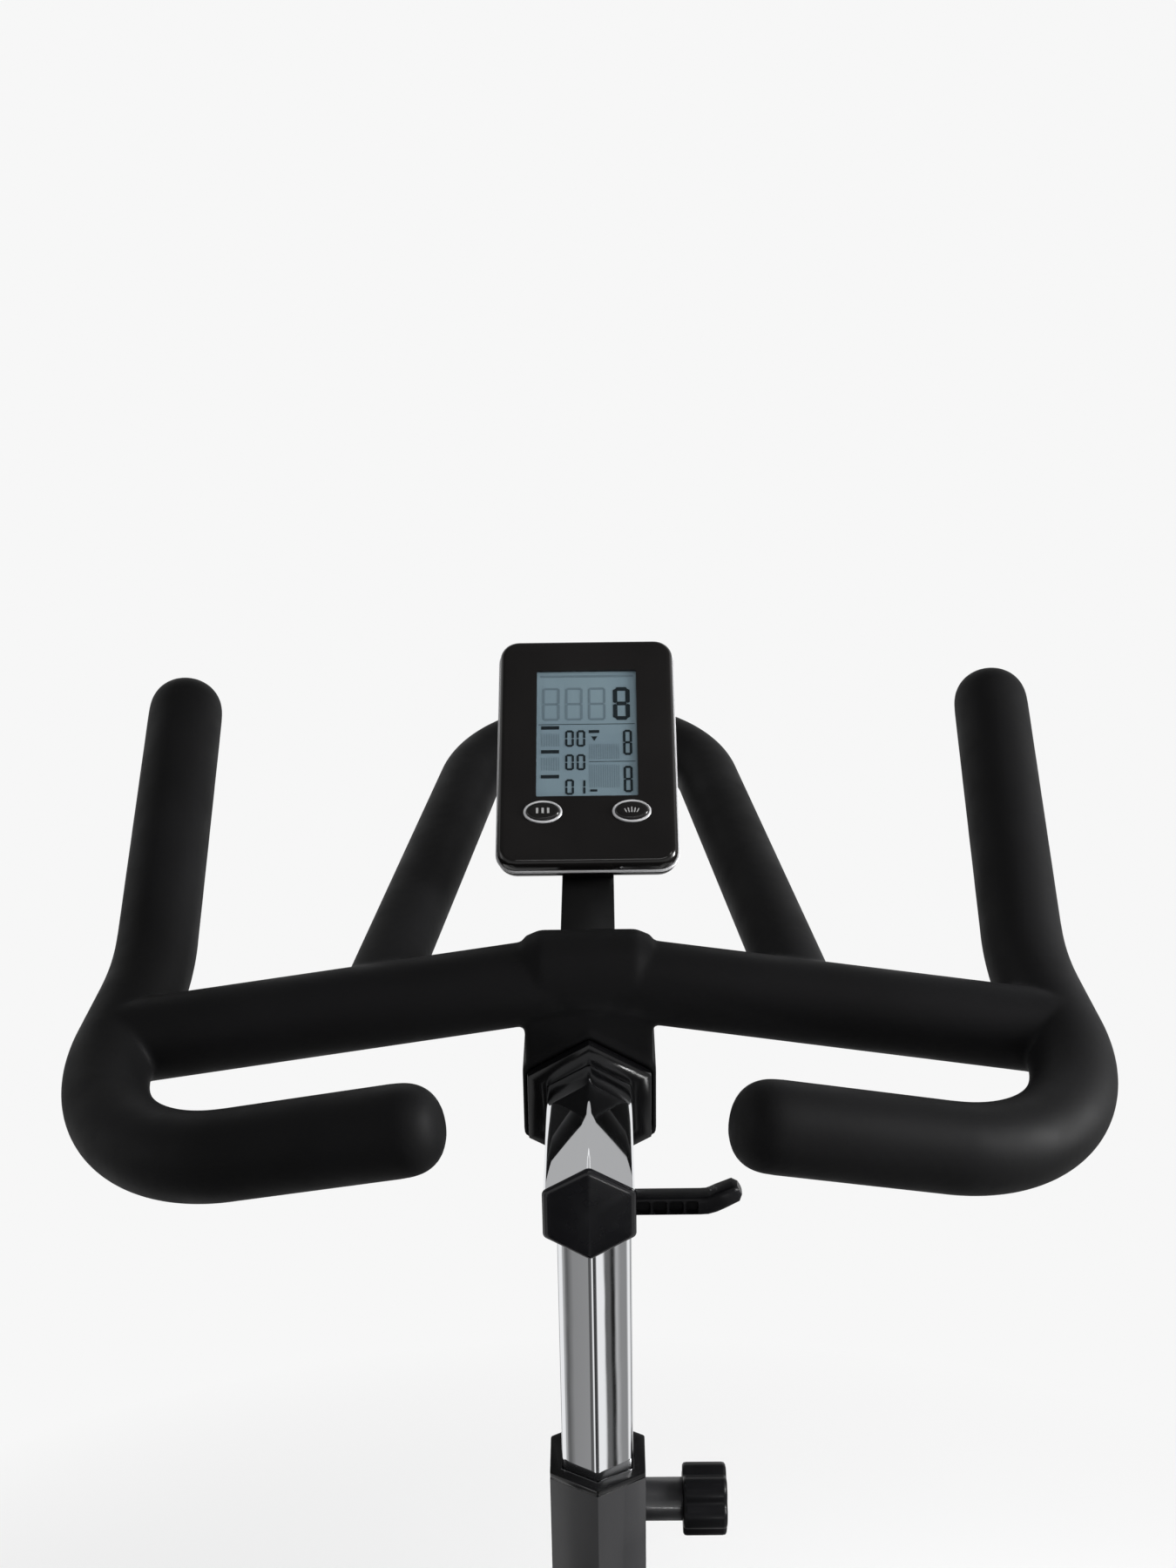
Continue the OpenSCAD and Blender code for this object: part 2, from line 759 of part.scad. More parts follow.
// One end cap: a socket over the tube's end, closed outside
module stabiliser_cap(y, side) {
    open = base_w / 2 - cap_len;
    difference() {
        intersection() {
            stabiliser_body(y, base_w, cap_wall);
            translate([side > 0 ? open : -base_w / 2, -far, 0]) cube([cap_len, 2 * far, far]);
        }
        stabiliser_body(y, base_w - 2 * cap_wall, 0);
    }
}

module stabiliser_caps() {
    color(rubber) for (y = [front_stab_y, rear_stab_y], side = [-1, 1]) stabiliser_cap(y, side);
}

module post_bushings() {
    color(plastic) {
        translate([0, head_y, head_top]) post_bushing(-pin_drop);
        on_seat_axis(seat_tube_top) post_bushing(-pin_drop);
    }
}

// Bolts that the transport wheels turn on
module caster_axles() {
    reach = caster_w / 2 + caster_side_gap + ear_t;
    head_t = 4;
    color(steel) for (side = [-1, 1]) {
        cross_rod(side * caster_x - reach, side * caster_x + reach, caster_bolt_r, caster_axle);
        for (head = [-1, 1])
            translate([side * caster_x + head * (reach + head_t / 2), caster_axle.x, caster_axle.y])
                rotate([0, 90, 0]) cylinder(r = caster_bolt_r + 3, h = head_t, $fn = 6, center = true);
    }
}

module flywheel_bearings() {
    color(steel) for (side = [-1, 1])
        translate([side * leg_x, axle.x, axle.y]) rotate([0, 90, 0]) difference() {
            cylinder(r = bearing_r, h = leg_w, center = true);
            cylinder(r = axle_r + run_gap, h = leg_w + 1, center = true);
        }
}

// Side view of the belt guard, its rim wall moved in by inset
module guard_shape(inset) {
    drive_shape(belt_t + guard_gap + guard_wall - inset);
}

module belt_guard_inner() {
    color(plastic) difference() {
        union() {
            side_plate(guard_x0, guard_x0 + guard_wall) guard_shape(0);
            for (s = [-guard_boss_gap, guard_boss_gap])
                cross_rod(beam_w / 2, guard_x0, 8, beam_foot + beam_dir * (beam_near_crank + s));
            cross_rod(fork_w / 2 + boss_proud, guard_x0 + 1, bearing_r + 8, axle);
        }
        cross_rod(guard_x0 - 1, far, crank_axle_r + 4, crank);
        cross_rod(0, far, bearing_r + 1, axle);
    }
}

module belt_guard_outer() {
    color(plastic) difference() {
        side_plate(guard_x0 + guard_wall, guard_x1) guard_shape(0);
        side_plate(guard_x0, guard_x1 - guard_wall) guard_shape(guard_wall);
        cross_rod(guard_x0, far, crank_axle_r + 4, crank);
    }
}

module drive_belt() {
    color(rubber) difference() {
        side_plate(belt_x - belt_w / 2, belt_x + belt_w / 2) drive_shape(belt_gap + belt_t);
        side_plate(0, far) drive_shape(belt_gap);
    }
}

// Tube through the main beam that guides the brake screw
module brake_guide() {
    color(steel) on_brake_axis(guide_low) difference() {
        cylinder(r = guide_r, h = guide_top - guide_low);
        translate([0, 0, -eps]) cylinder(r = rod_r + run_gap, h = far);
    }
}

module levelling_foot(x, y) {
    color(rubber) translate([x, y, 0]) {
        cylinder(r = foot_r, h = foot_h);
        cylinder(r = stud_r, h = stab_lift + frame_wall + stud_inside);
        translate([0, 0, foot_h]) cylinder(r = stud_r + 4, h = foot_nut_h, $fn = 6);
    }
}

module foot_front_left() {
    levelling_foot(-foot_x, front_stab_y);
}

module foot_front_right() {
    levelling_foot(foot_x, front_stab_y);
}

module foot_rear_left() {
    levelling_foot(-foot_x, rear_stab_y);
}

module foot_rear_right() {
    levelling_foot(foot_x, rear_stab_y);
}

module caster(x) {
    color(rubber) translate([x, caster_axle.x, caster_axle.y]) rotate([0, 90, 0]) difference() {
        cylinder(r = caster_r, h = caster_w, center = true);
        cylinder(r = caster_bolt_r + run_gap, h = far, center = true);
    }
}

module caster_left() {
    caster(-caster_x);
}

module caster_right() {
    caster(caster_x);
}

module flywheel() {
    color(black) translate([0, axle.x, axle.y]) rotate([0, 90, 0]) rotate_extrude() {
        translate([axle_r, -web_t / 2]) square([fly_r - rim_depth - axle_r + 1, web_t]);
        translate([fly_r - rim_depth, -rim_t / 2]) square([rim_depth, rim_t]);
        translate([axle_r, -hub_w / 2]) square([hub_r - axle_r, hub_w]);
    }
}

module flywheel_axle() {
    color(steel) cross_rod(-fork_w / 2 - 6, belt_x + pulley_w / 2 + 4, axle_r, axle);
}

// Flat belt pulley with a flange on each side
module pulley(r, bore, p) {
    translate([belt_x, p.x, p.y]) rotate([0, 90, 0]) difference() {
        cylinder(r = r, h = pulley_w, center = true);
        cylinder(r = bore, h = far, center = true);
    }
}

module flywheel_pulley() {
    color(steel) pulley(fly_pulley_r, axle_r, axle);
}

module crank_axle() {
    color(steel) cross_rod(-crank_x - crank_t, crank_x + crank_t, crank_axle_r, crank);
}

module crank_pulley() {
    window_ring_r = (crank_pulley_r + crank_axle_r) / 2 + 4;
    window_margin = 22;
    window_r = (crank_pulley_r - crank_axle_r) / 2 - window_margin;
    color(steel) difference() {
        pulley(crank_pulley_r, crank_axle_r, crank);
        for (a = [0 : 72 : 288])
            cross_rod(0, far, window_r, crank + window_ring_r * [cos(a), sin(a)]);
    }
}

// Crank arm on the side given, reaching forwards on the right and back on the left
module crank_arm(side) {
    x0 = side > 0 ? crank_x : -crank_x - crank_t;
    color(steel) difference() {
        side_plate(x0, x0 + crank_t) translate(crank) scale([side, 1])
            belt_shape(crank_eye_r, pedal_eye_r, crank_len);
        cross_rod(-far, far, crank_axle_r, crank);
        cross_rod(-far, far, spindle_r, crank + [side * crank_len, 0]);
    }
}

module crank_arm_left() {
    crank_arm(-1);
}

module crank_arm_right() {
    crank_arm(1);
}

module pedal_spindles() {
    reach = crank_x + crank_t + pedal_gap + pedal_w;
    collar_t = pedal_gap / 2;
    color(steel) for (side = [-1, 1]) {
        p = crank + [side * crank_len, 0];
        cross_rod(side > 0 ? crank_x : -reach, side > 0 ? reach : -crank_x, spindle_r, p);
        cross_rod(side > 0 ? crank_x + crank_t : -crank_x - crank_t - collar_t,
            side > 0 ? crank_x + crank_t + collar_t : -crank_x - crank_t, spindle_r + 5, p);
    }
}

// Pedal with a toe cage, centred on its spindle
module pedal_body() {
    rib = 10;
    core_r = spindle_r + 4;
    slot_len = pedal_len / 2 - core_r - rib;
    difference() {
        translate([-pedal_w / 2, -pedal_len / 2, -pedal_h / 2]) cube([pedal_w, pedal_len, pedal_h]);
        for (y = [core_r, -core_r - slot_len])
            translate([-pedal_w / 2 + rib, y, -far]) cube([pedal_w - 2 * rib, slot_len, 2 * far]);
        rotate([0, 90, 0]) cylinder(r = spindle_r + run_gap, h = far, center = true);
    }
    toe_cage();
}

// Open plastic cage: a sole plate, a hoop over the toes and a front wall
module toe_cage() {
    cage_inset = 6;
    side_w = pedal_w - 2 * cage_inset;
    band = 14;
    root = 8;
    sole = pedal_h / 2 - band;
    wall_h = cage_h + band;
    front = pedal_len / 2 + cage_reach;
    difference() {
        translate([-side_w / 2, pedal_len / 2 - root, sole]) cube([side_w, cage_reach + root, wall_h]);
        translate([-side_w / 2 + cage_t, -far, sole + cage_t])
            cube([side_w - 2 * cage_t, far + front - cage_t, wall_h - 2 * cage_t]);
        translate([-far, pedal_len / 2 - root - 1, sole + 2 * band])
            cube([2 * far, cage_reach - band + root + 1, wall_h - 3 * band]);
        translate([-side_w / 2 + band, -far, sole + 2 * band])
            cube([side_w - 2 * band, 2 * far, wall_h - 3 * band]);
        translate([-side_w / 2 + band, pedal_len / 2 + band, sole + 2 * band])
            cube([side_w - 2 * band, cage_reach - 2 * band, far]);
    }
}

module pedal(side) {
    x = crank_x + crank_t + pedal_gap + pedal_w / 2;
    color(plastic) translate([side * x, crank.x + side * crank_len, crank.y]) pedal_body();
}

module pedal_left() {
    pedal(-1);
}

module pedal_right() {
    pedal(1);
}

// Knob and threaded rod that push the brake shoe down
module brake_screw() {
    rod_low = fly_r + brake_gap + pad_t + shoe_t - rod_deep;
    color(plastic) {
        on_brake_axis(rod_low) cylinder(r = rod_r, h = knob_low - rod_low + knob_h / 2);
        on_brake_axis(knob_low) difference() {
            cylinder(r = knob_r, h = knob_h);
            for (a = [0 : 45 : 315])
                rotate([0, 0, a]) translate([knob_r + flute_r / 3, 0, -eps])
                    cylinder(r = flute_r, h = knob_h + 1);
        }
    }
}

// Shoe that carries the brake pad and turns freely on the rod's end
module brake_shoe() {
    color(steel) on_brake_axis(fly_r + brake_gap + pad_t) difference() {
        union() {
            translate([-shoe_w / 2, -shoe_len / 2, 0]) cube([shoe_w, shoe_len, shoe_t]);
            cylinder(r = rod_r + 6, h = shoe_t + 6);
        }
        translate([0, 0, shoe_t - rod_deep - 0.3]) cylinder(r = rod_r + run_gap, h = far);
    }
}

module brake_pad() {
    color(felt) difference() {
        on_brake_axis(fly_r) translate([1 - shoe_w / 2, 2 - shoe_len / 2, 0])
            cube([shoe_w - 2, shoe_len - 4, brake_gap + pad_t]);
        cross_rod(-far, far, fly_r + brake_gap, axle);
    }
}

// Vertical post and the slider welded across its top
module handlebar_post() {
    slider_front = head_y + post_af / sqrt(3) + 4;
    pin_z = head_top - pin_drop;
    low = slider_z - bar_post_len;
    color(chrome) difference() {
        union() {
            translate([0, head_y, low]) hex_bar(post_af, bar_post_len);
            hex_slide(slider_af, slider_rear, slider_front, slider_z);
        }
        translate([0, head_y, low - 1]) hex_bar(post_af - 2 * post_wall, bar_post_len);
        hex_slide(slider_af - 2 * post_wall, slider_rear - 1, slider_front - post_wall, slider_z);
        translate([0, head_y, pin_z]) post_holes();
    }
}

module slider_end_cap() {
    color(black) slider_cap(slider_rear, slider_z);
}

module handlebar_pin() {
    color(plastic) translate([0, head_y, head_top - pin_drop]) pull_pin();
}

// Coated tube of one side of the handlebar, from the lower grip to the horn
module grip_tube(side) {
    mirror([side > 0 ? 0 : 1, 0, 0]) {
        bent_rod([grip_end, rear_corner, front_corner, horn_tip], [rear_bend, front_bend], bar_r);
        for (p = [grip_end, horn_tip]) translate(p) sphere(r = bar_r - bend_over);
    }
}

module crossbar_tube(r) {
    for (side = [-1, 1]) rod([0, 0, 0], [side * bar_end.x, bar_end.y, bar_end.z], r);
    sphere(r = r);
}

module crossbar() {
    color(coating) on_bar() difference() {
        crossbar_tube(bar_r);
        for (side = [-1, 1]) mirror([side > 0 ? 0 : 1, 0, 0]) rod(rear_corner, front_corner, bar_r);
    }
}

module grip_left() {
    color(coating) on_bar() grip_tube(-1);
}

module grip_right() {
    color(coating) on_bar() grip_tube(1);
}

// Loop in front of the crossbar for a forward hold
module aero_loop() {
    left_root = [-loop_root.x, loop_root.y, loop_root.z];
    left_end = [-loop_end.x, loop_end.y, loop_end.z];
    color(coating) on_bar() difference() {
        bent_rod([left_root, left_end, loop_end, loop_root], [loop_bend, loop_bend], loop_r);
        crossbar_tube(bar_r);
    }
}

// Hexagonal sleeve on the slider, with a collar round the crossbar's middle
module clamp_sleeve() {
    half = collar_w / 2;
    slope = (collar_base_w - collar_w) / 2;
    color(coating) difference() {
        union() {
            hex_slide(sleeve_af, sleeve_y, sleeve_y + sleeve_len, slider_z);
            on_bar() rotate([0, 90, 0]) {
                translate([0, 0, -half]) cylinder(r = collar_r, h = collar_w);
                for (side = [0, 1]) mirror([0, 0, side]) translate([0, 0, half])
                    cylinder(r1 = collar_r, r2 = bar_r - 1.5, h = slope);
            }
            translate([-collar_base_w / 2, bar_y - bar_r + 2, slider_z])
                cube([collar_base_w, 2 * bar_r - 4, slider_drop - 8]);
            translate([0, lever_y, sleeve_low - nut_h + nut_sink]) cylinder(r = nut_r, h = nut_h);
        }
        hex_slide(sleeve_bore, sleeve_y - 1, sleeve_y + sleeve_len + 1, slider_z);
        on_bar() crossbar_tube(bar_r);
        translate([0, lever_y, sleeve_low - far]) cylinder(r = clamp_stud_r + run_gap, h = far + slider_z - sleeve_low);
    }
}

module sleeve_bushing() {
    color(black) difference() {
        hex_slide(sleeve_bore, sleeve_y - lining_proud, sleeve_y + sleeve_len, slider_z);
        hex_slide(slider_bore, sleeve_y - lining_proud - 1, sleeve_y + sleeve_len + 1, slider_z);
        translate([0, lever_y, slider_z - sleeve_af]) cylinder(r = clamp_stud_r + run_gap, h = sleeve_af);
    }
}

// Lever with a stud that clamps the sleeve, its arm pointing to the right
module clamp_arm(stud_len) {
    hub_h = 32;
    arm_w = 12;
    arm_h = 10;
    arm_low = 4 - hub_h;
    tip_len = 20;
    tip_angle = 27;
    tip_x = lever_reach - tip_len * cos(tip_angle);
    rib_step = 8;
    rib_gap = 3;
    rib_deep = 2;
    bend = [tip_x, arm_low];
    tip = bend + tip_len * [cos(tip_angle), sin(tip_angle)];
    tip_over = tip + arm_h * [-sin(tip_angle), cos(tip_angle)];
    bend_over_arm = bend + arm_h * [-tan(tip_angle / 2), 1];
    translate([0, 0, -1]) cylinder(r = clamp_stud_r, h = stud_len + 1);
    translate([0, 0, -hub_h]) cylinder(r = lever_hub_r, h = hub_h);
    difference() {
        translate([0, arm_w / 2, 0]) rotate([90, 0, 0]) linear_extrude(arm_w)
            polygon([[0, arm_low], bend, tip, tip_over, bend_over_arm, [0, arm_low + arm_h]]);
        for (x = [lever_hub_r + rib_step : rib_step : tip_x - rib_step])
            translate([x, -far, arm_low + arm_h - rib_deep]) cube([rib_gap, 2 * far, arm_h]);
    }
}

module clamp_lever() {
    top = sleeve_low - nut_h + nut_sink - lever_gap;
    color(plastic) translate([0, lever_y, top])
        clamp_arm(slider_z - slider_af / sqrt(3) - lever_gap - top);
}

// Strap from the collar forwards and up the console's back
module console_neck() {
    up = [cos(console_slope), sin(console_slope)];
    out = [-up.y, up.x];
    bend = [bar_y + console_y, bar_z + console_z] - (console_t + neck_t) * out;
    end = bend + neck_lap * up;
    inner = bend + neck_t * [-tan(console_slope / 2), 1];
    color(black) difference() {
        side_plate(-neck_w / 2, neck_w / 2)
            polygon([[bar_y, bend.y], bend, end, end + neck_t * out, inner, [bar_y, inner.y]]);
        on_bar() rotate([0, 90, 0]) cylinder(r = collar_r, h = far, center = true);
    }
}

// Inside of the console's case, drawn flat
module case_inside() {
    rounded(console_w - 2 * case_wall, console_len - 2 * case_wall, console_corner - case_wall);
}

module console_back() {
    low = -console_t;
    color(black) on_console() translate([0, console_len / 2, 0]) difference() {
        translate([0, 0, low]) linear_extrude(console_t - front_t)
            rounded(console_w, console_len, console_corner);
        translate([0, 0, low + case_back_t]) linear_extrude(console_t) case_inside();
    }
}

// Oval hole or button, drawn flat
module oval(grow) {
    scale([button_a + grow, button_b + grow]) circle(r = 1, $fn = 48);
}

module console_front() {
    color(black) on_console() difference() {
        translate([0, console_len / 2, -front_t]) linear_extrude(front_t)
            rounded(console_w, console_len, console_corner);
        translate([0, console_len / 2, -front_t - 1]) linear_extrude(front_t - case_face_t + 1) case_inside();
        translate([-window_w / 2, window_low, -far / 2]) cube([window_w, window_len, far]);
        for (side = [-1, 1])
            translate([side * button_x, button_v, -far / 2]) linear_extrude(far) oval(button_gap);
    }
}

module display_panel() {
    color(lcd) on_console()
        translate([-window_w / 2, window_low, -glass_t - panel_t]) cube([window_w, window_len, panel_t]);
}

module display_window() {
    color(clear) on_console()
        translate([-window_w / 2, window_low, -glass_t]) cube([window_w, window_len, glass_t]);
}

module button(side) {
    color(black) on_console() translate([side * button_x, button_v, button_proud - button_len])
        linear_extrude(button_len) oval(0);
}

module button_left() {
    button(-1);
}

module button_right() {
    button(1);
}

// Saddle post along the seat tube, and the level slider across its top
module saddle_post() {
    low = saddle_axis_s - saddle_post_len;
    inside_front = saddle_slider_front - post_wall;
    color(chrome) difference() {
        union() {
            on_seat_axis(low) hex_bar(post_af, saddle_post_len);
            hex_slide(slider_af, saddle_slider_rear, saddle_slider_front, saddle_axis.y);
        }
        on_seat_axis(low - 1) hex_bar(post_af - 2 * post_wall, saddle_post_len);
        hex_slide(slider_af - 2 * post_wall, saddle_slider_rear - 1, inside_front, saddle_axis.y);
        on_seat_axis(seat_tube_top - pin_drop) post_holes();
    }
}

module saddle_end_cap() {
    color(black) slider_cap(saddle_slider_rear, saddle_axis.y);
}

// Sleeve on the saddle slider with the block that grips the rails
module saddle_carrier() {
    y0 = saddle_y - carrier_len / 2;
    color(black) difference() {
        union() {
            hex_slide(sleeve_af, y0, y0 + carrier_len, saddle_axis.y);
            translate([-stem_w / 2, saddle_y - stem_w / 2, saddle_axis.y]) cube([stem_w, stem_w, rail_rise]);
            translate([-rail_x - block_wall, saddle_y - block_len / 2, rail_z - block_h / 2])
                cube([2 * (rail_x + block_wall), block_len, block_h]);
            translate([sleeve_af / 2 - nut_sink, saddle_y, saddle_axis.y]) rotate([0, 90, 0])
                cylinder(r = nut_r, h = nut_h);
        }
        hex_slide(slider_bore, y0 - 1, y0 + carrier_len + 1, saddle_axis.y);
        for (side = [-1, 1]) rail(side);
        translate([0, saddle_y, saddle_axis.y]) rotate([0, 90, 0])
            cylinder(r = clamp_stud_r + run_gap, h = far);
    }
}

// One saddle rail: level through the clamp, rising to the shell at both ends
module rail(side) {
    half = saddle_len / 2 - rail_end_gap;
    level = half - rail_slant;
    x = side * rail_x;
    bent_rod([
        [x, saddle_y - half, shell_z], [x, saddle_y - level, rail_z],
        [x, saddle_y + level, rail_z], [x, saddle_y + half, shell_z]
    ], [rail_bend, rail_bend], rail_r);
}

module saddle_rails() {
    color(steel) difference() {
        for (side = [-1, 1]) rail(side);
        translate([-far, -far, shell_z]) cube([2 * far, 2 * far, far]);
    }
}

// Outline of the saddle from above, moved in by inset
module saddle_outline(inset) {
    rear = saddle_y - saddle_len / 2;
    front = saddle_y + saddle_len / 2;
    waist_r = nose_w / 2 + 11 - inset;
    hull() {
        for (side = [-1, 1])
            translate([side * (saddle_w / 2 - tail_r), rear + tail_r]) circle(r = tail_r - inset);
        translate([0, saddle_y + waist_fwd]) circle(r = waist_r);
    }
    hull() {
        translate([0, saddle_y + waist_fwd]) circle(r = waist_r);
        translate([0, front - nose_w / 2]) circle(r = nose_w / 2 - inset);
    }
}

module saddle_shell() {
    color(black) translate([0, 0, shell_z]) linear_extrude(shell_h) saddle_outline(4);
}

module saddle_pad() {
    color(coating) translate([0, 0, shell_z + shell_h]) {
        linear_extrude(pad_h * 0.7) saddle_outline(0);
        linear_extrude(pad_h) saddle_outline(9);
    }
}

module saddle_lever() {
    face = sleeve_af / 2 - nut_sink + nut_h + lever_gap;
    color(plastic) translate([face, saddle_y, saddle_axis.y])
        rotate([0, -90, 0]) rotate([0, 0, 180]) clamp_arm(face - slider_af / 2 - lever_gap);
}

module saddle_pin() {
    color(plastic) on_seat_axis(seat_tube_top - pin_drop) pull_pin();
}

main_beam();
head_tube();
fork_left();
fork_right();
seat_tube();
bb_shell();
front_stabiliser();
rear_stabiliser();
stabiliser_caps();
post_bushings();
caster_axles();
flywheel_bearings();
belt_guard_inner();
belt_guard_outer();
drive_belt();
brake_guide();
foot_front_left();
foot_front_right();
foot_rear_left();
foot_rear_right();
caster_left();
caster_right();
flywheel();
flywheel_axle();
flywheel_pulley();
crank_axle();
crank_pulley();
crank_arm_left();
crank_arm_right();
pedal_spindles();
pedal_left();
pedal_right();
brake_screw();
brake_shoe();
brake_pad();
handlebar_post();
slider_end_cap();
handlebar_pin();
crossbar();
grip_left();
grip_right();
aero_loop();
clamp_sleeve();
sleeve_bushing();
console_neck();
console_back();
console_front();
display_panel();
display_window();
button_left();
button_right();
clamp_lever();
saddle_post();
saddle_end_cap();
saddle_carrier();
saddle_rails();
saddle_shell();
saddle_pad();
saddle_lever();
saddle_pin();
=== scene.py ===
import json
import math
import bmesh
import bpy
from mathutils import Matrix, Vector
from mathutils.bvhtree import BVHTree
from mathutils.kdtree import KDTree


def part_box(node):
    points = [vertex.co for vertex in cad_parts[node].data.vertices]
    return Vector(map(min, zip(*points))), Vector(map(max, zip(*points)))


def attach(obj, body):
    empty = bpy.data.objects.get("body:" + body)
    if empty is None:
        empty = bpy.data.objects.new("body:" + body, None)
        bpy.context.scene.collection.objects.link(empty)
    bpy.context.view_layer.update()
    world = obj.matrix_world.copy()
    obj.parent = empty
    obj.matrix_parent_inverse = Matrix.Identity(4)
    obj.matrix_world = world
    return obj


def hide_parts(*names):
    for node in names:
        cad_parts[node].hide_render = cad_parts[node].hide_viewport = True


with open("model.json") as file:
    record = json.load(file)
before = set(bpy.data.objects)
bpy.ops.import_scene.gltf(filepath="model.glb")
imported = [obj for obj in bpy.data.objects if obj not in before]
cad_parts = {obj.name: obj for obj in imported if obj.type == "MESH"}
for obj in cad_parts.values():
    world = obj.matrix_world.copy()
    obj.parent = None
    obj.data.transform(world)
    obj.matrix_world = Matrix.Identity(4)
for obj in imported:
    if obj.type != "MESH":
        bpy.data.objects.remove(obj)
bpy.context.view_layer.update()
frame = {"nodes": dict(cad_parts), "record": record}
nodes = frame["nodes"]
scene = bpy.context.scene


# ---- materials

mats = {}


def principled(m, key):
    return m.node_tree.nodes["Principled BSDF"].inputs[key]


def shader(name, color, roughness, metal=0.0, spec=0.5, coat=0.0, sheen=0.0, alpha=1.0):
    """A named material, its constants on the Principled shader's own sockets."""
    m = mats[name] = bpy.data.materials.new(name)
    m.use_nodes = True
    m.diffuse_color = (*color, 1)
    for key, value in {
            "Base Color": (*color, 1), "Roughness": roughness, "Metallic": metal, "Specular IOR Level": spec,
            "Coat Weight": coat, "Coat Roughness": 0.06, "Sheen Weight": sheen, "Sheen Roughness": 0.6,
            "Alpha": alpha}.items():
        principled(m, key).default_value = value
    return m


def node(m, kind, **values):
    """A new node; each value goes to the input of that name, or else to the setting."""
    n = m.node_tree.nodes.new(kind)
    for key, value in values.items():
        if key in n.inputs:
            n.inputs[key].default_value = value
        else:
            setattr(n, key, value)
    return n


def link(m, a, b):
    m.node_tree.links.new(a, b)


def coords(m, stretch=(1, 1, 1)):
    c = node(m, "ShaderNodeTexCoord")
    s = node(m, "ShaderNodeMapping", Scale=stretch)
    link(m, c.outputs["Object"], s.inputs["Vector"])
    return s.outputs["Vector"]


def noise(m, vector, scale, detail=3.0):
    n = node(m, "ShaderNodeTexNoise", Scale=scale, Detail=detail, Roughness=0.5)
    link(m, vector, n.inputs["Vector"])
    return n.outputs["Fac"]


def cells(m, vector, scale):
    n = node(m, "ShaderNodeTexVoronoi", Scale=scale, feature="SMOOTH_F1")
    link(m, vector, n.inputs["Vector"])
    return n.outputs["Distance"]


def spread(m, fac, low, high, start=0.3, end=0.7):
    """Maps fac from start..end to low..high."""
    r = node(m, "ShaderNodeMapRange")
    for key, value in (("From Min", start), ("From Max", end), ("To Min", low), ("To Max", high)):
        r.inputs[key].default_value = value
    link(m, fac, r.inputs["Value"])
    return r.outputs["Result"]


def tint(m, fac, dark, light):
    """Base colour between dark and light by fac."""
    x = node(m, "ShaderNodeMix", data_type="RGBA")
    x.inputs[6].default_value = (*dark, 1)
    x.inputs[7].default_value = (*light, 1)
    link(m, spread(m, fac, 0, 1), x.inputs[0])
    link(m, x.outputs[2], principled(m, "Base Color"))


def rough(m, fac, low, high, start=0.3, end=0.7):
    link(m, spread(m, fac, low, high, start, end), principled(m, "Roughness"))


def bump(m, *layers):
    """Layers of (fac, depth in metres)."""
    last = None
    for fac, depth in layers:
        n = node(m, "ShaderNodeBump", Strength=1.0, Distance=depth)
        link(m, fac, n.inputs["Height"])
        if last:
            link(m, last, n.inputs["Normal"])
        last = n.outputs["Normal"]
    link(m, last, principled(m, "Normal"))


def finish(name, color, roughness, tints=None, wear=None, bumps=(), stretch=(1, 1, 1), **values):
    """A material with uneven tone, roughness and surface, each from noise of its own scale and detail: tints ends
    in the dark and the light colour, wear in the low and the high roughness, and each bump in its depth in metres."""
    m = shader(name, color, roughness, **values)
    v = coords(m, stretch)
    if tints:
        tint(m, noise(m, v, *tints[:2]), *tints[2:])
    if wear:
        rough(m, noise(m, v, *wear[:2]), *wear[2:])
    if bumps:
        bump(m, *((noise(m, v, scale, detail), depth) for scale, detail, depth in bumps))


def plastic(name, color, low, high, grain=2500, depth=0.00003, spec=0.3):
    """Moulded plastic or rubber of slightly uneven tone, with a fine grain."""
    finish(name, color, (low + high) / 2, (14, 3, [c * 0.8 for c in color], [c * 1.3 for c in color]),
           (60, 3, low, high), ((grain, 2, depth),), spec=spec)


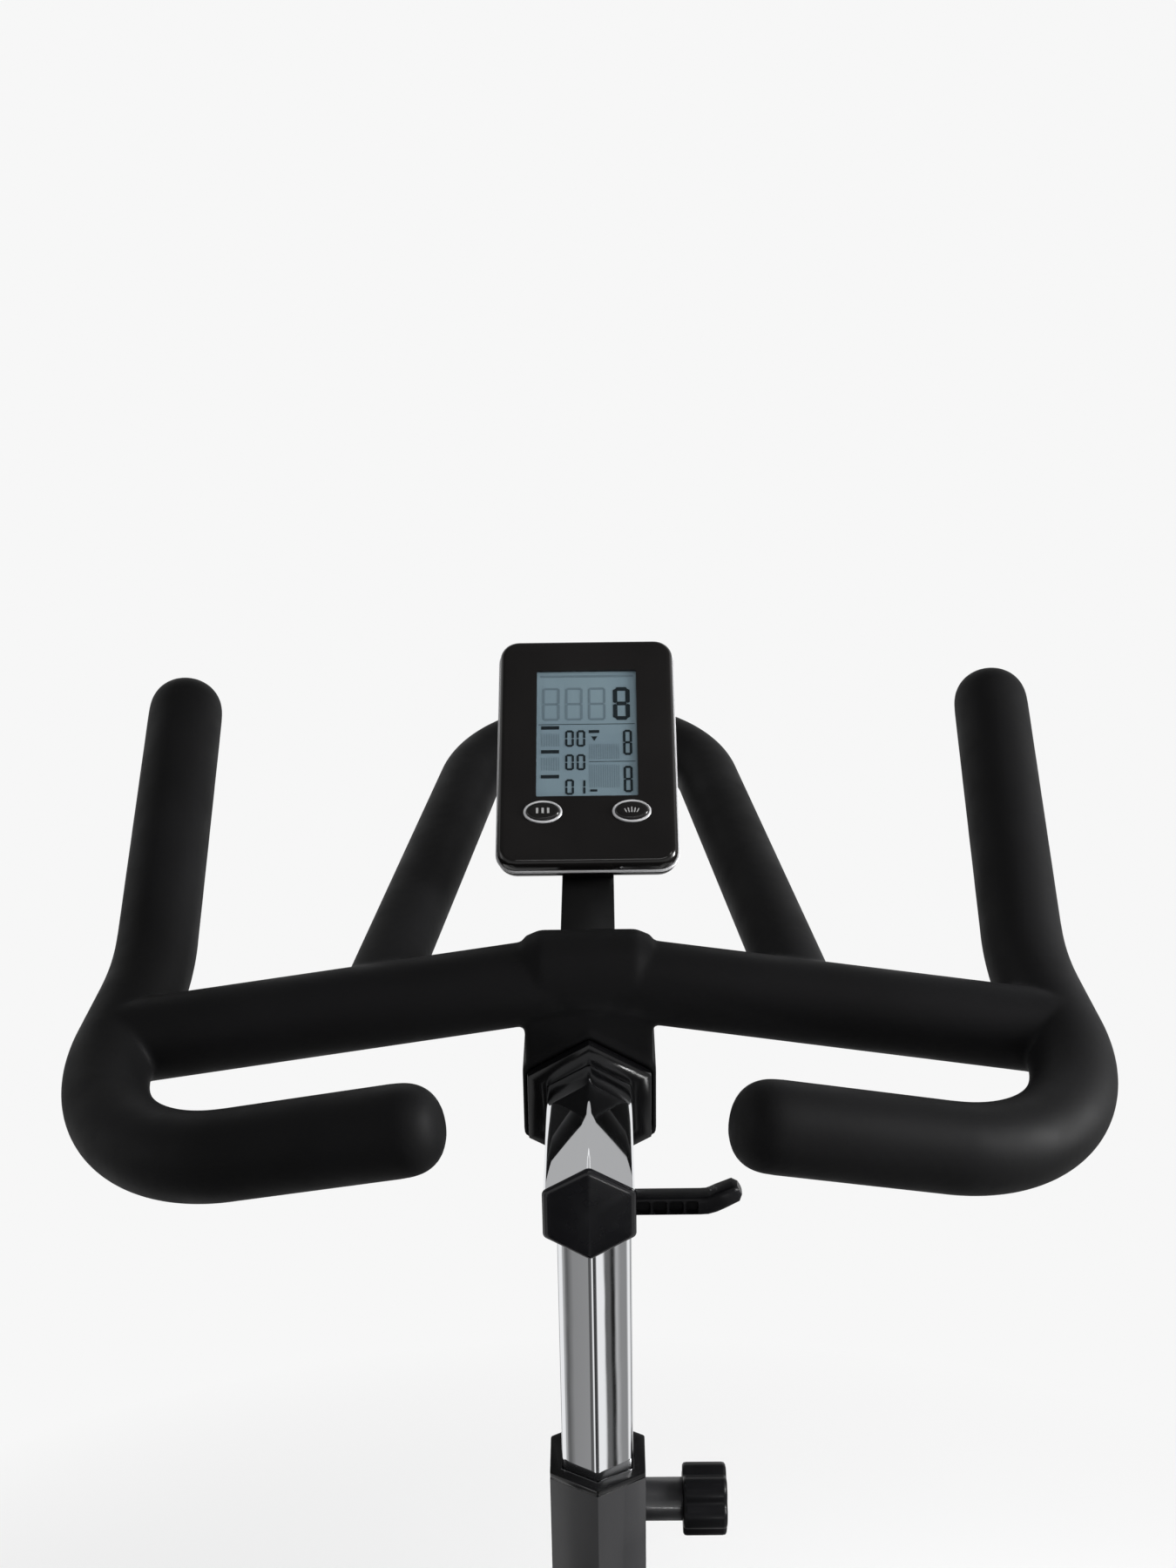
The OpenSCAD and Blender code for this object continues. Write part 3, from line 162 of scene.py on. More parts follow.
def make_materials():
    finish("bar_coating", (0.004, 0.004, 0.0042), 0.54, (9, 4, (0.003, 0.003, 0.0031), (0.0052, 0.0052, 0.0056)),
           (45, 3, 0.5, 0.62), ((260, 3, 0.00004), (2200, 2, 0.00004)), spec=0.06)
    for name in ("frame_paint", "carrier_paint"):
        finish(name, (0.011, 0.011, 0.012), 0.36, (7, 3, (0.009, 0.009, 0.01), (0.014, 0.014, 0.0155)),
               (30, 3, 0.32, 0.45), ((900, 2, 0.00006),), coat=0.15)

    finish("chrome", (0.83, 0.84, 0.86), 0.06, None, (35, 5, 0.015, 0.05), ((12, 2, 0.00012),), metal=1.0)
    finish("silver", (0.45, 0.45, 0.46), 0.42, None, (60, 3, 0.36, 0.46), metal=0.35)
    finish("bright_steel", (0.66, 0.67, 0.69), 0.2, (40, 3, (0.58, 0.59, 0.61), (0.7, 0.71, 0.73)),
           (70, 3, 0.16, 0.26), stretch=(30, 1, 1), metal=1.0)
    finish("plain_steel", (0.55, 0.56, 0.58), 0.32, (90, 4, (0.46, 0.47, 0.49), (0.62, 0.63, 0.65)),
           (120, 3, 0.26, 0.4), ((400, 2, 0.00002),), (1, 12, 12), metal=1.0)
    finish("crank_steel", (0.33, 0.335, 0.35), 0.3, (60, 4, (0.28, 0.285, 0.3), (0.4, 0.405, 0.42)),
           (90, 3, 0.24, 0.36), ((500, 2, 0.00002),), (8, 1, 8), metal=1.0)
    finish("pulley_alloy", (0.6, 0.61, 0.62), 0.42, (30, 3, (0.5, 0.51, 0.52), (0.66, 0.67, 0.68)),
           bumps=((700, 3, 0.0001),), metal=1.0)
    finish("flywheel_iron", (0.028, 0.028, 0.03), 0.42, (20, 4, (0.02, 0.02, 0.022), (0.036, 0.036, 0.038)),
           (40, 3, 0.34, 0.5), ((420, 4, 0.0002),), coat=0.2)

    for name, values in {
            "hub_plastic": ((0.13, 0.13, 0.135), 0.4, 0.55, 900, 0.00005),
            "guard_plastic": ((0.02, 0.02, 0.022), 0.42, 0.55, 1400, 0.00008),
            "pedal_plastic": ((0.012, 0.012, 0.013), 0.4, 0.55, 1600, 0.00006),
            "knob_plastic": ((0.004, 0.004, 0.0046), 0.28, 0.4, 2500, 0.00003, 0.1),
            "shell_plastic": ((0.02, 0.02, 0.021), 0.45, 0.6, 1200, 0.0001),
            "cap_rubber": ((0.02, 0.02, 0.02), 0.6, 0.75, 900, 0.00006),
            "caster_tyre": ((0.03, 0.03, 0.03), 0.55, 0.7, 700, 0.00008),
            "belt_rubber": ((0.02, 0.02, 0.02), 0.6, 0.75),
            "bushing_plastic": ((0.003, 0.003, 0.0033), 0.1, 0.2, 900, 0.00001),
            "cap_plastic": ((0.004, 0.004, 0.0055), 0.22, 0.3, 1500, 0.00001, 0.35),
            "neck_metal": ((0.0035, 0.0035, 0.0036), 0.4, 0.5, 900, 0.00003, 0.1),
            "console_gloss": ((0.0062, 0.0057, 0.0056), 0.08, 0.14, 300, 0.000004, 0.27),
            "button_gloss": ((0.007, 0.0065, 0.0065), 0.12, 0.2, 300, 0.000004)}.items():
        plastic(name, *values)

    finish("brake_felt", (0.3, 0.27, 0.22), 0.95, (400, 4, (0.22, 0.2, 0.16), (0.36, 0.33, 0.28)),
           bumps=((900, 4, 0.0004),), sheen=0.4)
    finish("display_lcd", (0.138, 0.195, 0.228), 0.5, (18, 2, (0.125, 0.178, 0.214), (0.152, 0.212, 0.242)),
           spec=0.12)
    finish("display_glass", (0.02, 0.022, 0.024), 0.04, None, (40, 3, 0.03, 0.06), spec=0.25, alpha=0.06)
    for name, color, spec in (("display_ink", (0.006, 0.011, 0.014), 0.1),
                              ("display_ghost", (0.095, 0.135, 0.16), 0.1), ("mark_print", (0.25, 0.25, 0.25), 0.3)):
        finish(name, color, 0.5, None, (300, 3, 0.45, 0.6), spec=spec)

    m = shader("saddle_cover", (0.02, 0.02, 0.021), 0.5, sheen=0.05)
    v = coords(m)
    grain = cells(m, v, 900)
    tint(m, noise(m, v, 16, 4), (0.015, 0.015, 0.016), (0.026, 0.026, 0.027))
    rough(m, grain, 0.42, 0.58, 0.1, 0.6)
    bump(m, (grain, 0.00025), (noise(m, v, 120), 0.0002))
    finish("thread", (0.05, 0.05, 0.052), 0.7, bumps=((3000, 3, 0.0001),))


make_materials()

# ---- helpers

def add(name, data):
    o = bpy.data.objects.new(name, data)
    scene.collection.objects.link(o)
    return o


def modify(o, kind, **settings):
    m = o.modifiers.new(kind.lower(), kind)
    for key, value in settings.items():
        setattr(m, key, value)
    return m


def shade(o, angle=None):
    """Smooth, but for edges sharper than angle."""
    o.data.polygons.foreach_set("use_smooth", [True] * len(o.data.polygons))
    if angle:
        o.data.set_sharp_from_angle(angle=math.radians(angle))
    return o


def dress(o, material):
    """The same material all over."""
    o.data.materials.clear()
    o.data.materials.append(mats[material])
    return o


def turns(n):
    """n angles, evenly round a circle."""
    return [2 * math.pi * k / n for k in range(n)]


def soften(name, width, segments):
    """Rounds a CAD node's edges with modifiers."""
    o = shade(nodes[name])
    modify(o, "WELD", merge_threshold=0.00001)
    modify(o, "BEVEL", width=width, segments=segments, limit_method="ANGLE", angle_limit=math.radians(32),
           harden_normals=True, use_clamp_overlap=True)


def new_object(name, verts, faces, material, smooth=35):
    me = bpy.data.meshes.new(name)
    me.from_pydata([tuple(v) for v in verts], [], faces)
    bm = bmesh.new()
    bm.from_mesh(me)
    bmesh.ops.remove_doubles(bm, verts=bm.verts, dist=1e-6)
    bmesh.ops.recalc_face_normals(bm, faces=bm.faces)
    bm.to_mesh(me)
    bm.free()
    me.materials.append(mats[material])
    return shade(add(name, me), smooth)


def lofted(name, loops, material, closed=False, smooth=35):
    """Joins equal loops of points with quads; the ends are capped unless closed joins them."""
    n = len(loops[0])
    verts = [p for loop in loops for p in loop]
    faces = []
    count = len(loops)
    for i in range(count if closed else count - 1):
        j = (i + 1) % count
        for k in range(n):
            l = (k + 1) % n
            faces.append((i * n + k, i * n + l, j * n + l, j * n + k))
    if not closed:
        faces.append(tuple(range(n))[::-1])
        faces.append(tuple((count - 1) * n + k for k in range(n)))
    return new_object(name, verts, faces, material, smooth)


def round_rect(w, h, r, steps=8, cx=0.0, cy=0.0):
    pts = []
    for q, (sx, sy) in enumerate([(1, 1), (-1, 1), (-1, -1), (1, -1)]):
        for i in range(steps + 1):
            a = math.radians(90 * (q + i / steps))
            pts.append((cx + sx * (w / 2 - r) + r * math.cos(a), cy + sy * (h / 2 - r) + r * math.sin(a)))
    return pts


def tube(name, points, radius, material, radii=None):
    """A closed round tube along points, swept with frames that don't twist."""
    pts = [Vector(p) for p in points]
    n = len(pts)
    loops = []
    up = None
    for i, p in enumerate(pts):
        t = (pts[(i + 1) % n] - pts[(i - 1) % n]).normalized()
        if up is None:
            up = t.orthogonal().normalized()
        up = (up - t * up.dot(t)).normalized()
        side = t.cross(up)
        r = radii[i] if radii else radius
        loops.append([p + (up * math.cos(x) + side * math.sin(x)) * r for x in turns(8)])
    return lofted(name, loops, material, True)


def place(o, body, slot, *replaced, at=None):
    """Rides on a body and stands for the replaced CAD nodes; the slot is not used."""
    if at is not None:
        o.matrix_world = at
    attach(o, body)
    if replaced:
        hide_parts(*replaced)
    return o


def box_mid(name):
    a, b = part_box(name)
    return (a + b) / 2


def bake(o):
    """Applies an object's modifiers to its mesh."""
    bpy.context.view_layer.update()
    dg = bpy.context.evaluated_depsgraph_get()
    me = bpy.data.meshes.new_from_object(o.evaluated_get(dg))
    o.modifiers.clear()
    o.data = me
    return o


# ---- measured places

BAR_R = 0.020
bar_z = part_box("crossbar")[1].z - BAR_R
bar_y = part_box("crossbar")[1].y - BAR_R
cap_lo, cap_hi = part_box("slider_end_cap")
slider_z = (cap_lo.z + cap_hi.z) / 2

# ---- coated handlebar

# each bar end and the bend before it, from the middle of the crossbar
BAR_ENDS = (((0.080, -0.137, 0), (0.237, -0.107, -0.042)), ((0.222, 0.195, 0.059), (0.215, 0.029, -0.013)))


def blunt_ends(o):
    """Makes the moulded ends fuller than half a ball."""
    power = 2.6
    middle = Vector((0, bar_y, bar_z))
    for side in (1, -1):
        for end, bend in BAR_ENDS:
            mirror = Vector((side, 1, 1))
            c = middle + Vector(end) * mirror
            axis = ((Vector(end) - Vector(bend)) * mirror).normalized()
            for v in o.data.vertices:
                d = v.co - c
                if d.length_squared > (BAR_R * 1.1) ** 2:
                    continue
                h = d.dot(axis)
                k = min(h / BAR_R, 0.995)
                if k > 0:
                    grow = (1 - k ** power) ** (1 / power) / math.sqrt(1 - k * k)
                    v.co = c + axis * h + (d - axis * h) * min(grow, 1.6)


def coated_skin():
    """One soft coating over the crossbar, the grips, the loop and the sleeve."""
    names = ["crossbar", "grip_left", "grip_right", "aero_loop", "clamp_sleeve"]
    bm = bmesh.new()
    for n in names:
        bm.from_mesh(nodes[n].data)
    bmesh.ops.remove_doubles(bm, verts=bm.verts, dist=1e-6)
    me = bpy.data.meshes.new("bar_skin")
    bm.to_mesh(me)
    bm.free()
    o = add("bar_skin", me)
    modify(o, "REMESH", mode="VOXEL", voxel_size=0.0014, use_smooth_shade=True)
    modify(o, "SMOOTH", factor=0.5, iterations=5)
    bake(o)
    blunt_ends(o)
    place(shade(dress(o, "bar_coating")), "handlebar", "bar_coating", *names)


coated_skin()

# ---- console

console_at = Matrix.Translation((0, bar_y + 0.058, bar_z + 0.031)) @ Matrix.Rotation(math.radians(34.5), 4, "X")
# the console's width, length and corner radius, and its middle, up its face from the near edge
CW, CL, CR, MID = 0.091, 0.138, 0.010, 0.069
# the display's width, length and middle
WIN_W, WIN_L, WIN_Y = 0.052, 0.078, 0.079
# the middle of the right button, and half the width and the height of each
BUTTON_X, BUTTON_Y = 0.0225, 0.0305
BUTTON_A = (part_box("button_left")[1].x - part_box("button_left")[0].x) / 2
BUTTON_B = 0.0052


def rect_loop(grow, z):
    """The console's outline at height z, larger by grow on each side."""
    return [(x, y, z) for x, y in round_rect(CW + 2 * grow, CL + 2 * grow, CR + grow, 8, 0, MID)]


def arc(radius, n, start=0, end=90):
    return [(radius * math.cos(math.radians(start + (end - start) * i / n)),
             radius * math.sin(math.radians(start + (end - start) * i / n))) for i in range(n + 1)]


def oval(cx, cy, a, b, n=48):
    return [(cx + a * math.cos(t), cy + b * math.sin(t)) for t in turns(n)]


def prism(outline, z0, z1, material="console_gloss", name="cutter"):
    """An outline drawn out between two heights."""
    return lofted(name, [[(x, y, z) for x, y in outline] for z in (z0, z1)], material)


def cut(o, cutters):
    """Cuts the cutters out of o."""
    for c in cutters:
        modify(o, "BOOLEAN", operation="DIFFERENCE", object=c, solver="EXACT")
    bake(o)
    for c in cutters:
        bpy.data.objects.remove(c)
    return o


def on_console(o, slot, *replaced, body="handlebar"):
    place(o, body, slot, *replaced, at=console_at)


def flat_marks(name, shapes, material, top, low, body, slot):
    """Thin raised marks on the console, from flat outlines."""
    verts, faces = [], []
    for q in shapes:
        n, k = len(verts), len(q)
        verts += [(x, y, top) for x, y in q] + [(x, y, low) for x, y in q]
        faces.append(tuple(range(n, n + k)))
        faces.append(tuple(range(n + 2 * k - 1, n + k - 1, -1)))
        faces += [(n + i, n + k + i, n + k + (i + 1) % k, n + (i + 1) % k) for i in range(k)]
    me = bpy.data.meshes.new(name)
    me.from_pydata(verts, [], faces)
    me.materials.append(mats[material])
    on_console(add(name, me), slot, body=body)


def console():
    edge = 0.0035
    loops = [rect_loop(-0.0004, -0.007), rect_loop(0, -0.0066)]
    loops += [rect_loop(c - edge, t - edge) for c, t in arc(edge, 6)]
    front = lofted("console_bezel", loops, "console_gloss")
    room = 0.00035
    holes = [round_rect(WIN_W, WIN_L, 0.0006, 4, 0, WIN_Y)]
    holes += [oval(side * BUTTON_X, BUTTON_Y, BUTTON_A + room, BUTTON_B + room) for side in (-1, 1)]
    cut(front, [prism(outline, -0.02, 0.01) for outline in holes])
    on_console(shade(front, 40), "console_gloss", "console_front")

    edge = 0.006
    loops = [rect_loop(c - edge, -0.016 + edge - s) for c, s in reversed(arc(edge, 8))]
    loops += [rect_loop(0, -0.0078), rect_loop(-0.0006, -0.0072)]
    on_console(lofted("console_shell", loops, "console_gloss"), "console_gloss", "console_back")

    line = [(x, y, -0.0072) for x, y in round_rect(CW + 0.0002, CL + 0.0002, CR, 8, 0, MID)]
    on_console(tube("console_trim", line, 0.0008, "silver"), "chrome")

    pane = round_rect(WIN_W - 0.0002, WIN_L - 0.0002, 0.0005, 4, 0, WIN_Y)
    on_console(prism(pane, -0.0012, -0.0003, "display_glass", "display_pane"), "display_glass", "display_window")

    # three upright bars are printed on the left button, and five that fan out on the right one
    for side, word, count, pitch, half, fan in ((-1, "left", 3, 0.0028, 0.0006, 0),
                                                (1, "right", 5, 0.0018, 0.0003, 0.0005)):
        body, middle = "button_" + word, side * BUTTON_X
        loops = [[(x, y, z) for x, y in oval(middle, BUTTON_Y, BUTTON_A + grow, BUTTON_B + grow)]
                 for grow, z in ((0, -0.0044), (0, 0.0008), (-0.0003, 0.0013), (-0.001, 0.0016), (-0.003, 0.0017))]
        on_console(lofted("button_cap_" + word, loops, "button_gloss", smooth=50), "button_gloss", body, body=body)
        marks = []
        for i in range(count):
            off = i - (count - 1) / 2
            x, lean = middle + off * pitch, off * fan
            y0, y1 = BUTTON_Y - 0.0016, BUTTON_Y + 0.0016 - abs(off) * fan
            marks.append([(x - half - lean, y0), (x + half - lean, y0), (x + half, y1), (x - half, y1)])
        flat_marks("button_mark_" + word, marks, "mark_print", 0.00175, 0.0016, body, "button_gloss")
        line = [(x, y, 0.0002) for x, y in oval(middle, BUTTON_Y, BUTTON_A + 0.0008, BUTTON_B + 0.0008, 64)]
        on_console(tube("button_ring_" + word, line, 0.0007, "silver"), "chrome")


console()

SEGMENTS = {"0": "abcdef", "1": "bc", "8": "abcdefg"}


def digit(char, x, y, w, h, t, quads):
    """Adds a seven-segment digit with strokes of t and its lower left corner at x, y."""
    gap, mid = t * 0.12, y + h / 2
    bar = {"a": (x + t * 0.55, y + h - t, x + w - t * 0.55, y + h),
           "d": (x + t * 0.55, y, x + w - t * 0.55, y + t),
           "g": (x + t * 0.7, mid - t / 2, x + w - t * 0.7, mid + t / 2),
           "f": (x, mid + gap, x + t, y + h - t * 0.5),
           "e": (x, y + t * 0.5, x + t, mid - gap),
           "b": (x + w - t, mid + gap, x + w, y + h - t * 0.5),
           "c": (x + w - t, y + t * 0.5, x + w, mid - gap)}
    for s in SEGMENTS[char]:
        x0, y0, x1, y1 = bar[s]
        k, xm, ym = t * 0.3, (x0 + x1) / 2, (y0 + y1) / 2
        if s in "adg":
            quads.append([(x0 + k, y0), (x1 - k, y0), (x1, ym), (x1 - k, y1), (x0 + k, y1), (x0, ym)])
        else:
            quads.append([(x0, y0 + k), (xm, y0), (x1, y0 + k), (x1, y1 - k), (xm, y1), (x0, y1 - k)])


def display():
    """Digits and marks, their places given as shares of the window's width and length."""
    def at(s, t):
        return s * WIN_W - WIN_W / 2, WIN_Y + WIN_L / 2 - t * WIN_L

    def block(s0, t0, s1, t1):
        (x0, y0), (x1, y1) = at(s0, t1), at(s1, t0)
        return [(x0, y0), (x1, y0), (x1, y1), (x0, y1)]

    def number(chars, s0, t0, s1, t1, thick, quads, gap=0.22):
        (x0, y0), (x1, y1) = at(s0, t1), at(s1, t0)
        w = (x1 - x0) / (len(chars) + gap * (len(chars) - 1))
        for i, c in enumerate(chars):
            digit(c, x0 + i * w * (1 + gap), y0, w, y1 - y0, w * thick, quads)

    ink, ghost = [], []
    number("8", 0.765, 0.13, 0.935, 0.395, 0.26, ink)
    number("888", 0.055, 0.13, 0.69, 0.395, 0.14, ghost, 0.3)
    for chars, t0, t1 in (("00", 0.475, 0.605), ("00", 0.665, 0.79), ("01", 0.86, 0.98)):
        number(chars, 0.285, t0, 0.485, t1, 0.26, ink, 0.3)
    for t0, t1 in ((0.475, 0.675), (0.76, 0.965)):
        number("8", 0.86, t0, 0.95, t1, 0.28, ink)
    ink += [block(0.045, t, 0.225, t + 0.026) for t in (0.44, 0.63, 0.825)]
    ink += [block(0.52, 0.475, 0.625, 0.497), block(0.53, 0.94, 0.6, 0.957)]
    (x0, y0), (x1, y1) = at(0.545, 0.56), at(0.605, 0.525)
    ink.append([((x0 + x1) / 2, y0), (x1, y1), (x0, y1)])
    ink += [block(0.02, 0.425, 0.98, 0.4285), block(0.52, 0.722, 0.98, 0.7255)]
    ghost.append(block(0.03, 0.028, 0.97, 0.045))
    for count, first, pitch, rows in ((14, 0.525, 0.022, ((0.585, 0.705), (0.75, 0.925))),
                                      (8, 0.05, 0.024, ((0.5, 0.6), (0.69, 0.79)))):
        for i in range(count):
            s = first + i * pitch
            ghost += [block(s, t0, s + 0.006, t1) for t0, t1 in rows]
    flat_marks("display_digits", ink, "display_ink", -0.00136, -0.0015, "handlebar", "display_lcd")
    flat_marks("display_unlit_segments", ghost, "display_ghost", -0.00142, -0.0015, "handlebar", "display_lcd")


display()

# ---- sliders, posts, end caps

SLIDER_AF = 0.0404
POST_AF = 0.042
CAP_T = 0.004
# holes in the right wall of each post: radius, middle of the drill, and pitch
HOLE_R, HOLE_X, HOLE_STEP = 0.0055, 0.0225, 0.02


def unit(a):
    return Vector((math.cos(a), math.sin(a)))


def hex_corners(af, r, steps):
    """Each corner of a hexagon standing on one: its angle, its rounding's middle, and the angles round that."""
    corners = []
    for q in range(6):
        a = math.radians(90 + 60 * q)
        middle = unit(a) * (af / math.sqrt(3) - r * 2 / math.sqrt(3))
        corners.append((a, middle, [a + math.radians(-30 + 60 * i / steps) for i in range(steps + 1)]))
    return corners


def hex_loop(af, y, z0, r):
    """Hexagon with corners up and down, rounded with r, in the plane at y round z0."""
    return [(c.x + r * math.cos(b), y, z0 + c.y + r * math.sin(b)) for _, c, around in hex_corners(af, r, 6)
            for b in around]


def hex_ring(af, r, bulge):
    """Hexagon with corners on the second axis, corners rounded with r, faces bulged outwards."""
    pts = []
    corners = hex_corners(af, r, 5)
    for q, (a, c, around) in enumerate(corners):
        pts += [c + unit(b) * r for b in around]
        n = unit(a + math.pi / 6)
        p0, p1 = c + n * r, corners[(q + 1) % 6][1] + n * r
        pts += [p0.lerp(p1, i / 8) for i in range(1, 8)]
    out = []
    for p in pts:
        n = unit(math.radians(round(math.degrees(math.atan2(p.y, p.x)) / 60) * 60))
        side = abs(p.dot(Vector((-n.y, n.x)))) / (af / 2 / math.sqrt(3))
        out.append(p - n * bulge * min(1.0, side) ** 2 if p.dot(n) > af / 2 - 0.0001 else p - n * bulge)
    return out


def drilled(o, centres):
    """Cuts round holes, on these centres, along X."""
    turn = Vector((1, 0, 0)).to_track_quat("Z", "Y").to_matrix().to_4x4()
    cutters = []
    for at in centres:
        m = Matrix.Translation(at) @ turn
        ring = [[m @ Vector((HOLE_R * math.cos(a), HOLE_R * math.sin(a), z)) for a in turns(40)]
                for z in (-0.02, 0.02)]
        cutters.append(lofted("cutter", ring, "chrome"))
    return shade(cut(o, cutters), 20)


def chrome_slider(name, y0, y1, z, post_loops, holes):
    """A post and its slider with rounded corners, for the node and the body of that name."""
    ring = hex_ring(SLIDER_AF, 0.0022, 0.00008)
    slider = lofted(name + "_slider", [[(p.x, y, z + p.y) for p in ring] for y in (y0, y1)], "chrome", smooth=20)
    place(slider, name, "chrome", name)
    place(drilled(lofted(name + "_tube", post_loops, "chrome", smooth=20), holes), name, "chrome", name)


def posts():
    lo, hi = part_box("handlebar_post")
    y = hi.y - POST_AF / math.sqrt(3) - 0.004
    ring = hex_ring(POST_AF, 0.0038, 0.00022)
    loops = [[(p.x, y + p.y, z) for p in ring] for z in (lo.z, slider_z - 0.004)]
    pin = box_mid("handlebar_pin").z
    holes = [(HOLE_X, y, pin + HOLE_STEP * i) for i in range(5)]
    chrome_slider("handlebar_post", cap_lo.y + CAP_T, hi.y, slider_z, loops, holes)

    lo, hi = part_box("saddle_end_cap")
    z = (lo.z + hi.z) / 2
    tilt = math.radians(18)
    up = Vector((0, -math.sin(tilt), math.cos(tilt)))
    out = Vector((0, math.cos(tilt), math.sin(tilt)))
    top = Vector((0, lo.y + CAP_T + 0.180, z))
    front = top.y + POST_AF / math.sqrt(3) / math.cos(tilt) + 0.004
    loops = [[top + up * t + Vector((p.x, 0, 0)) + out * p.y for p in ring] for t in (-0.362, -0.002)]
    pin = box_mid("saddle_pin")
    s = (Vector((0, pin.y, pin.z)) - top).dot(up)
    holes = [top + up * (s + HOLE_STEP * i) + Vector((HOLE_X, 0, 0)) for i in range(5)]
    chrome_slider("saddle_post", lo.y + CAP_T, front, z, loops, holes)


def end_cap(node_name, name, body):
    """Domed cap, a little hollow over its width, on a slider's end."""
    lo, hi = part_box(node_name)
    af = hi.x - lo.x
    z = (lo.z + hi.z) / 2
    edge, dome, near, corner = 0.0026, 0.0011, lo.y + CAP_T, 0.0035
    loops = [hex_loop(width, y, z, corner)
             for width, y in ((af - 0.006, near), (af - 0.0004, near), (af, near - 0.0003))]
    loops += [hex_loop(af - 2 * (edge - c), lo.y + dome + edge - s, z, corner) for c, s in arc(edge, 6)]
    loops += [hex_loop((af - 2 * edge) * share, lo.y + dome * (1 - rise), z, corner * share)
              for share, rise in ((0.7, 0.45), (0.45, 0.8), (0.2, 0.97), (0.05, 1))]
    for loop in loops[4:]:
        loop[:] = [(x, y + 0.0009 * abs(x) / (af / 2), h) for x, y, h in loop]
    place(lofted(name, loops, "cap_plastic", smooth=60), body, "cap_plastic", node_name)


posts()
end_cap("slider_end_cap", "slider_cap", "handlebar_post")
end_cap("saddle_end_cap", "saddle_slider_cap", "saddle_post")

# ---- turned pieces

def lathe(name, profile, material, matrix, steps=72, smooth=35):
    """Turns a closed profile of (radius, height), in mm, round the local Z axis."""
    loops = [[(r / 1000 * math.cos(a), r / 1000 * math.sin(a), h / 1000) for r, h in profile] for a in turns(steps)]
    o = lofted(name, loops, material, closed=True, smooth=smooth)
    o.matrix_world = matrix
    return o


def mirrored(half):
    """A profile whose lower half repeats its upper one."""
    return half + [(r, -h) for r, h in reversed(half)]


def along_x(p):
    """Local Z along +X, from p."""
    return Matrix.Translation(p) @ Matrix.Rotation(math.pi / 2, 4, "Y")


def knob(name, r, w, lobes, deep, matrix):
    """Lobed knob from local z = 0 to w, in metres, with rounded edges and a dished face."""
    loops = []
    for k, z in ((0.5, 0), (0.93, 0), (0.985, 0.03), (1, 0.09), (1, 0.9), (0.985, 0.96), (0.93, 0.99), (0.86, 1),
                 (0.74, 1), (0.66, 0.97), (0.3, 0.95), (0.02, 0.95)):
        loop = []
        for a in turns(96):
            dip = deep * (0.5 + 0.5 * math.cos(lobes * a)) ** 2.2 * min(1, max(0, (k - 0.66) / 0.2))
            loop.append(((r * k - dip) * math.cos(a), (r * k - dip) * math.sin(a), z * w))
        loops.append(loop)
    o = lofted(name, loops, "knob_plastic", smooth=50)
    o.matrix_world = matrix
    return o


def threads(name, r, z0, z1, pitch, matrix):
    """Threaded rod, in mm."""
    root = r - 0.6
    profile = [(0.01, z0), (root, z0)]
    z = z0
    while z + pitch < z1:
        profile += [(r, z + pitch * 0.45), (r, z + pitch * 0.55), (root, z + pitch)]
        z += pitch
    profile += [(root, z1), (0.01, z1)]
    return lathe(name, profile, "plain_steel", matrix, 32, 25)


def hex_nut(name, af, z0, z1, matrix):
    """Chamfered hexagonal nut, in mm."""
    rings = []
    for z, k in ((z0, 0.93), (z0 + 0.8, 1), (z1 - 0.8, 1), (z1, 0.93)):
        r = af / math.sqrt(3) * k / 1000
        rings.append([(r * math.cos(a), r * math.sin(a), z / 1000) for a in (math.radians(60 * i) for i in range(6))])
    o = lofted(name, rings, "plain_steel", smooth=20)
    o.matrix_world = matrix
    return o


def flywheel():
    at = along_x(box_mid("flywheel"))
    disc = mirrored([(8.5, 25), (29, 25), (31.5, 24), (32, 22.5), (33, 9), (36, 6.6), (40, 6), (152, 6), (159, 7.2),
                     (164, 10.5), (166, 11.7), (168, 12), (194.4, 12), (195, 11.4), (196.8, 11.4)])
    place(lathe("flywheel_disc", disc, "flywheel_iron", at, 128), "flywheel", "flywheel_iron", "flywheel")
    band = mirrored([(196.8, 12), (199.2, 12), (200, 11.2)])
    place(lathe("flywheel_band", band, "bright_steel", at, 128), "flywheel", "plain_steel", "flywheel")
    lo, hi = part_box("flywheel_axle")
    nut = along_x((lo.x, (lo.y + hi.y) / 2, (lo.z + hi.z) / 2))
    place(hex_nut("flywheel_axle_nut", 15, 0, 5.2, nut), "flywheel", "plain_steel")


def caster(name):
    at = along_x(box_mid(name))
    tyre = mirrored([(19, 11), (20, 12), (26.5, 12), (28.6, 11), (29.7, 8.6), (30, 5)])
    place(lathe(name + "_tyre", tyre, "caster_tyre", at), name, "caster_tyre", name)
    hub = mirrored([(5.06, 12), (8.5, 12), (9.2, 11.3), (9.4, 5), (10.2, 4), (17.2, 4), (18.2, 5), (18.4, 11),
                    (19.2, 11.4), (19.6, 11)])
    place(lathe(name + "_hub", hub, "hub_plastic", at), name, "caster_tyre", name)


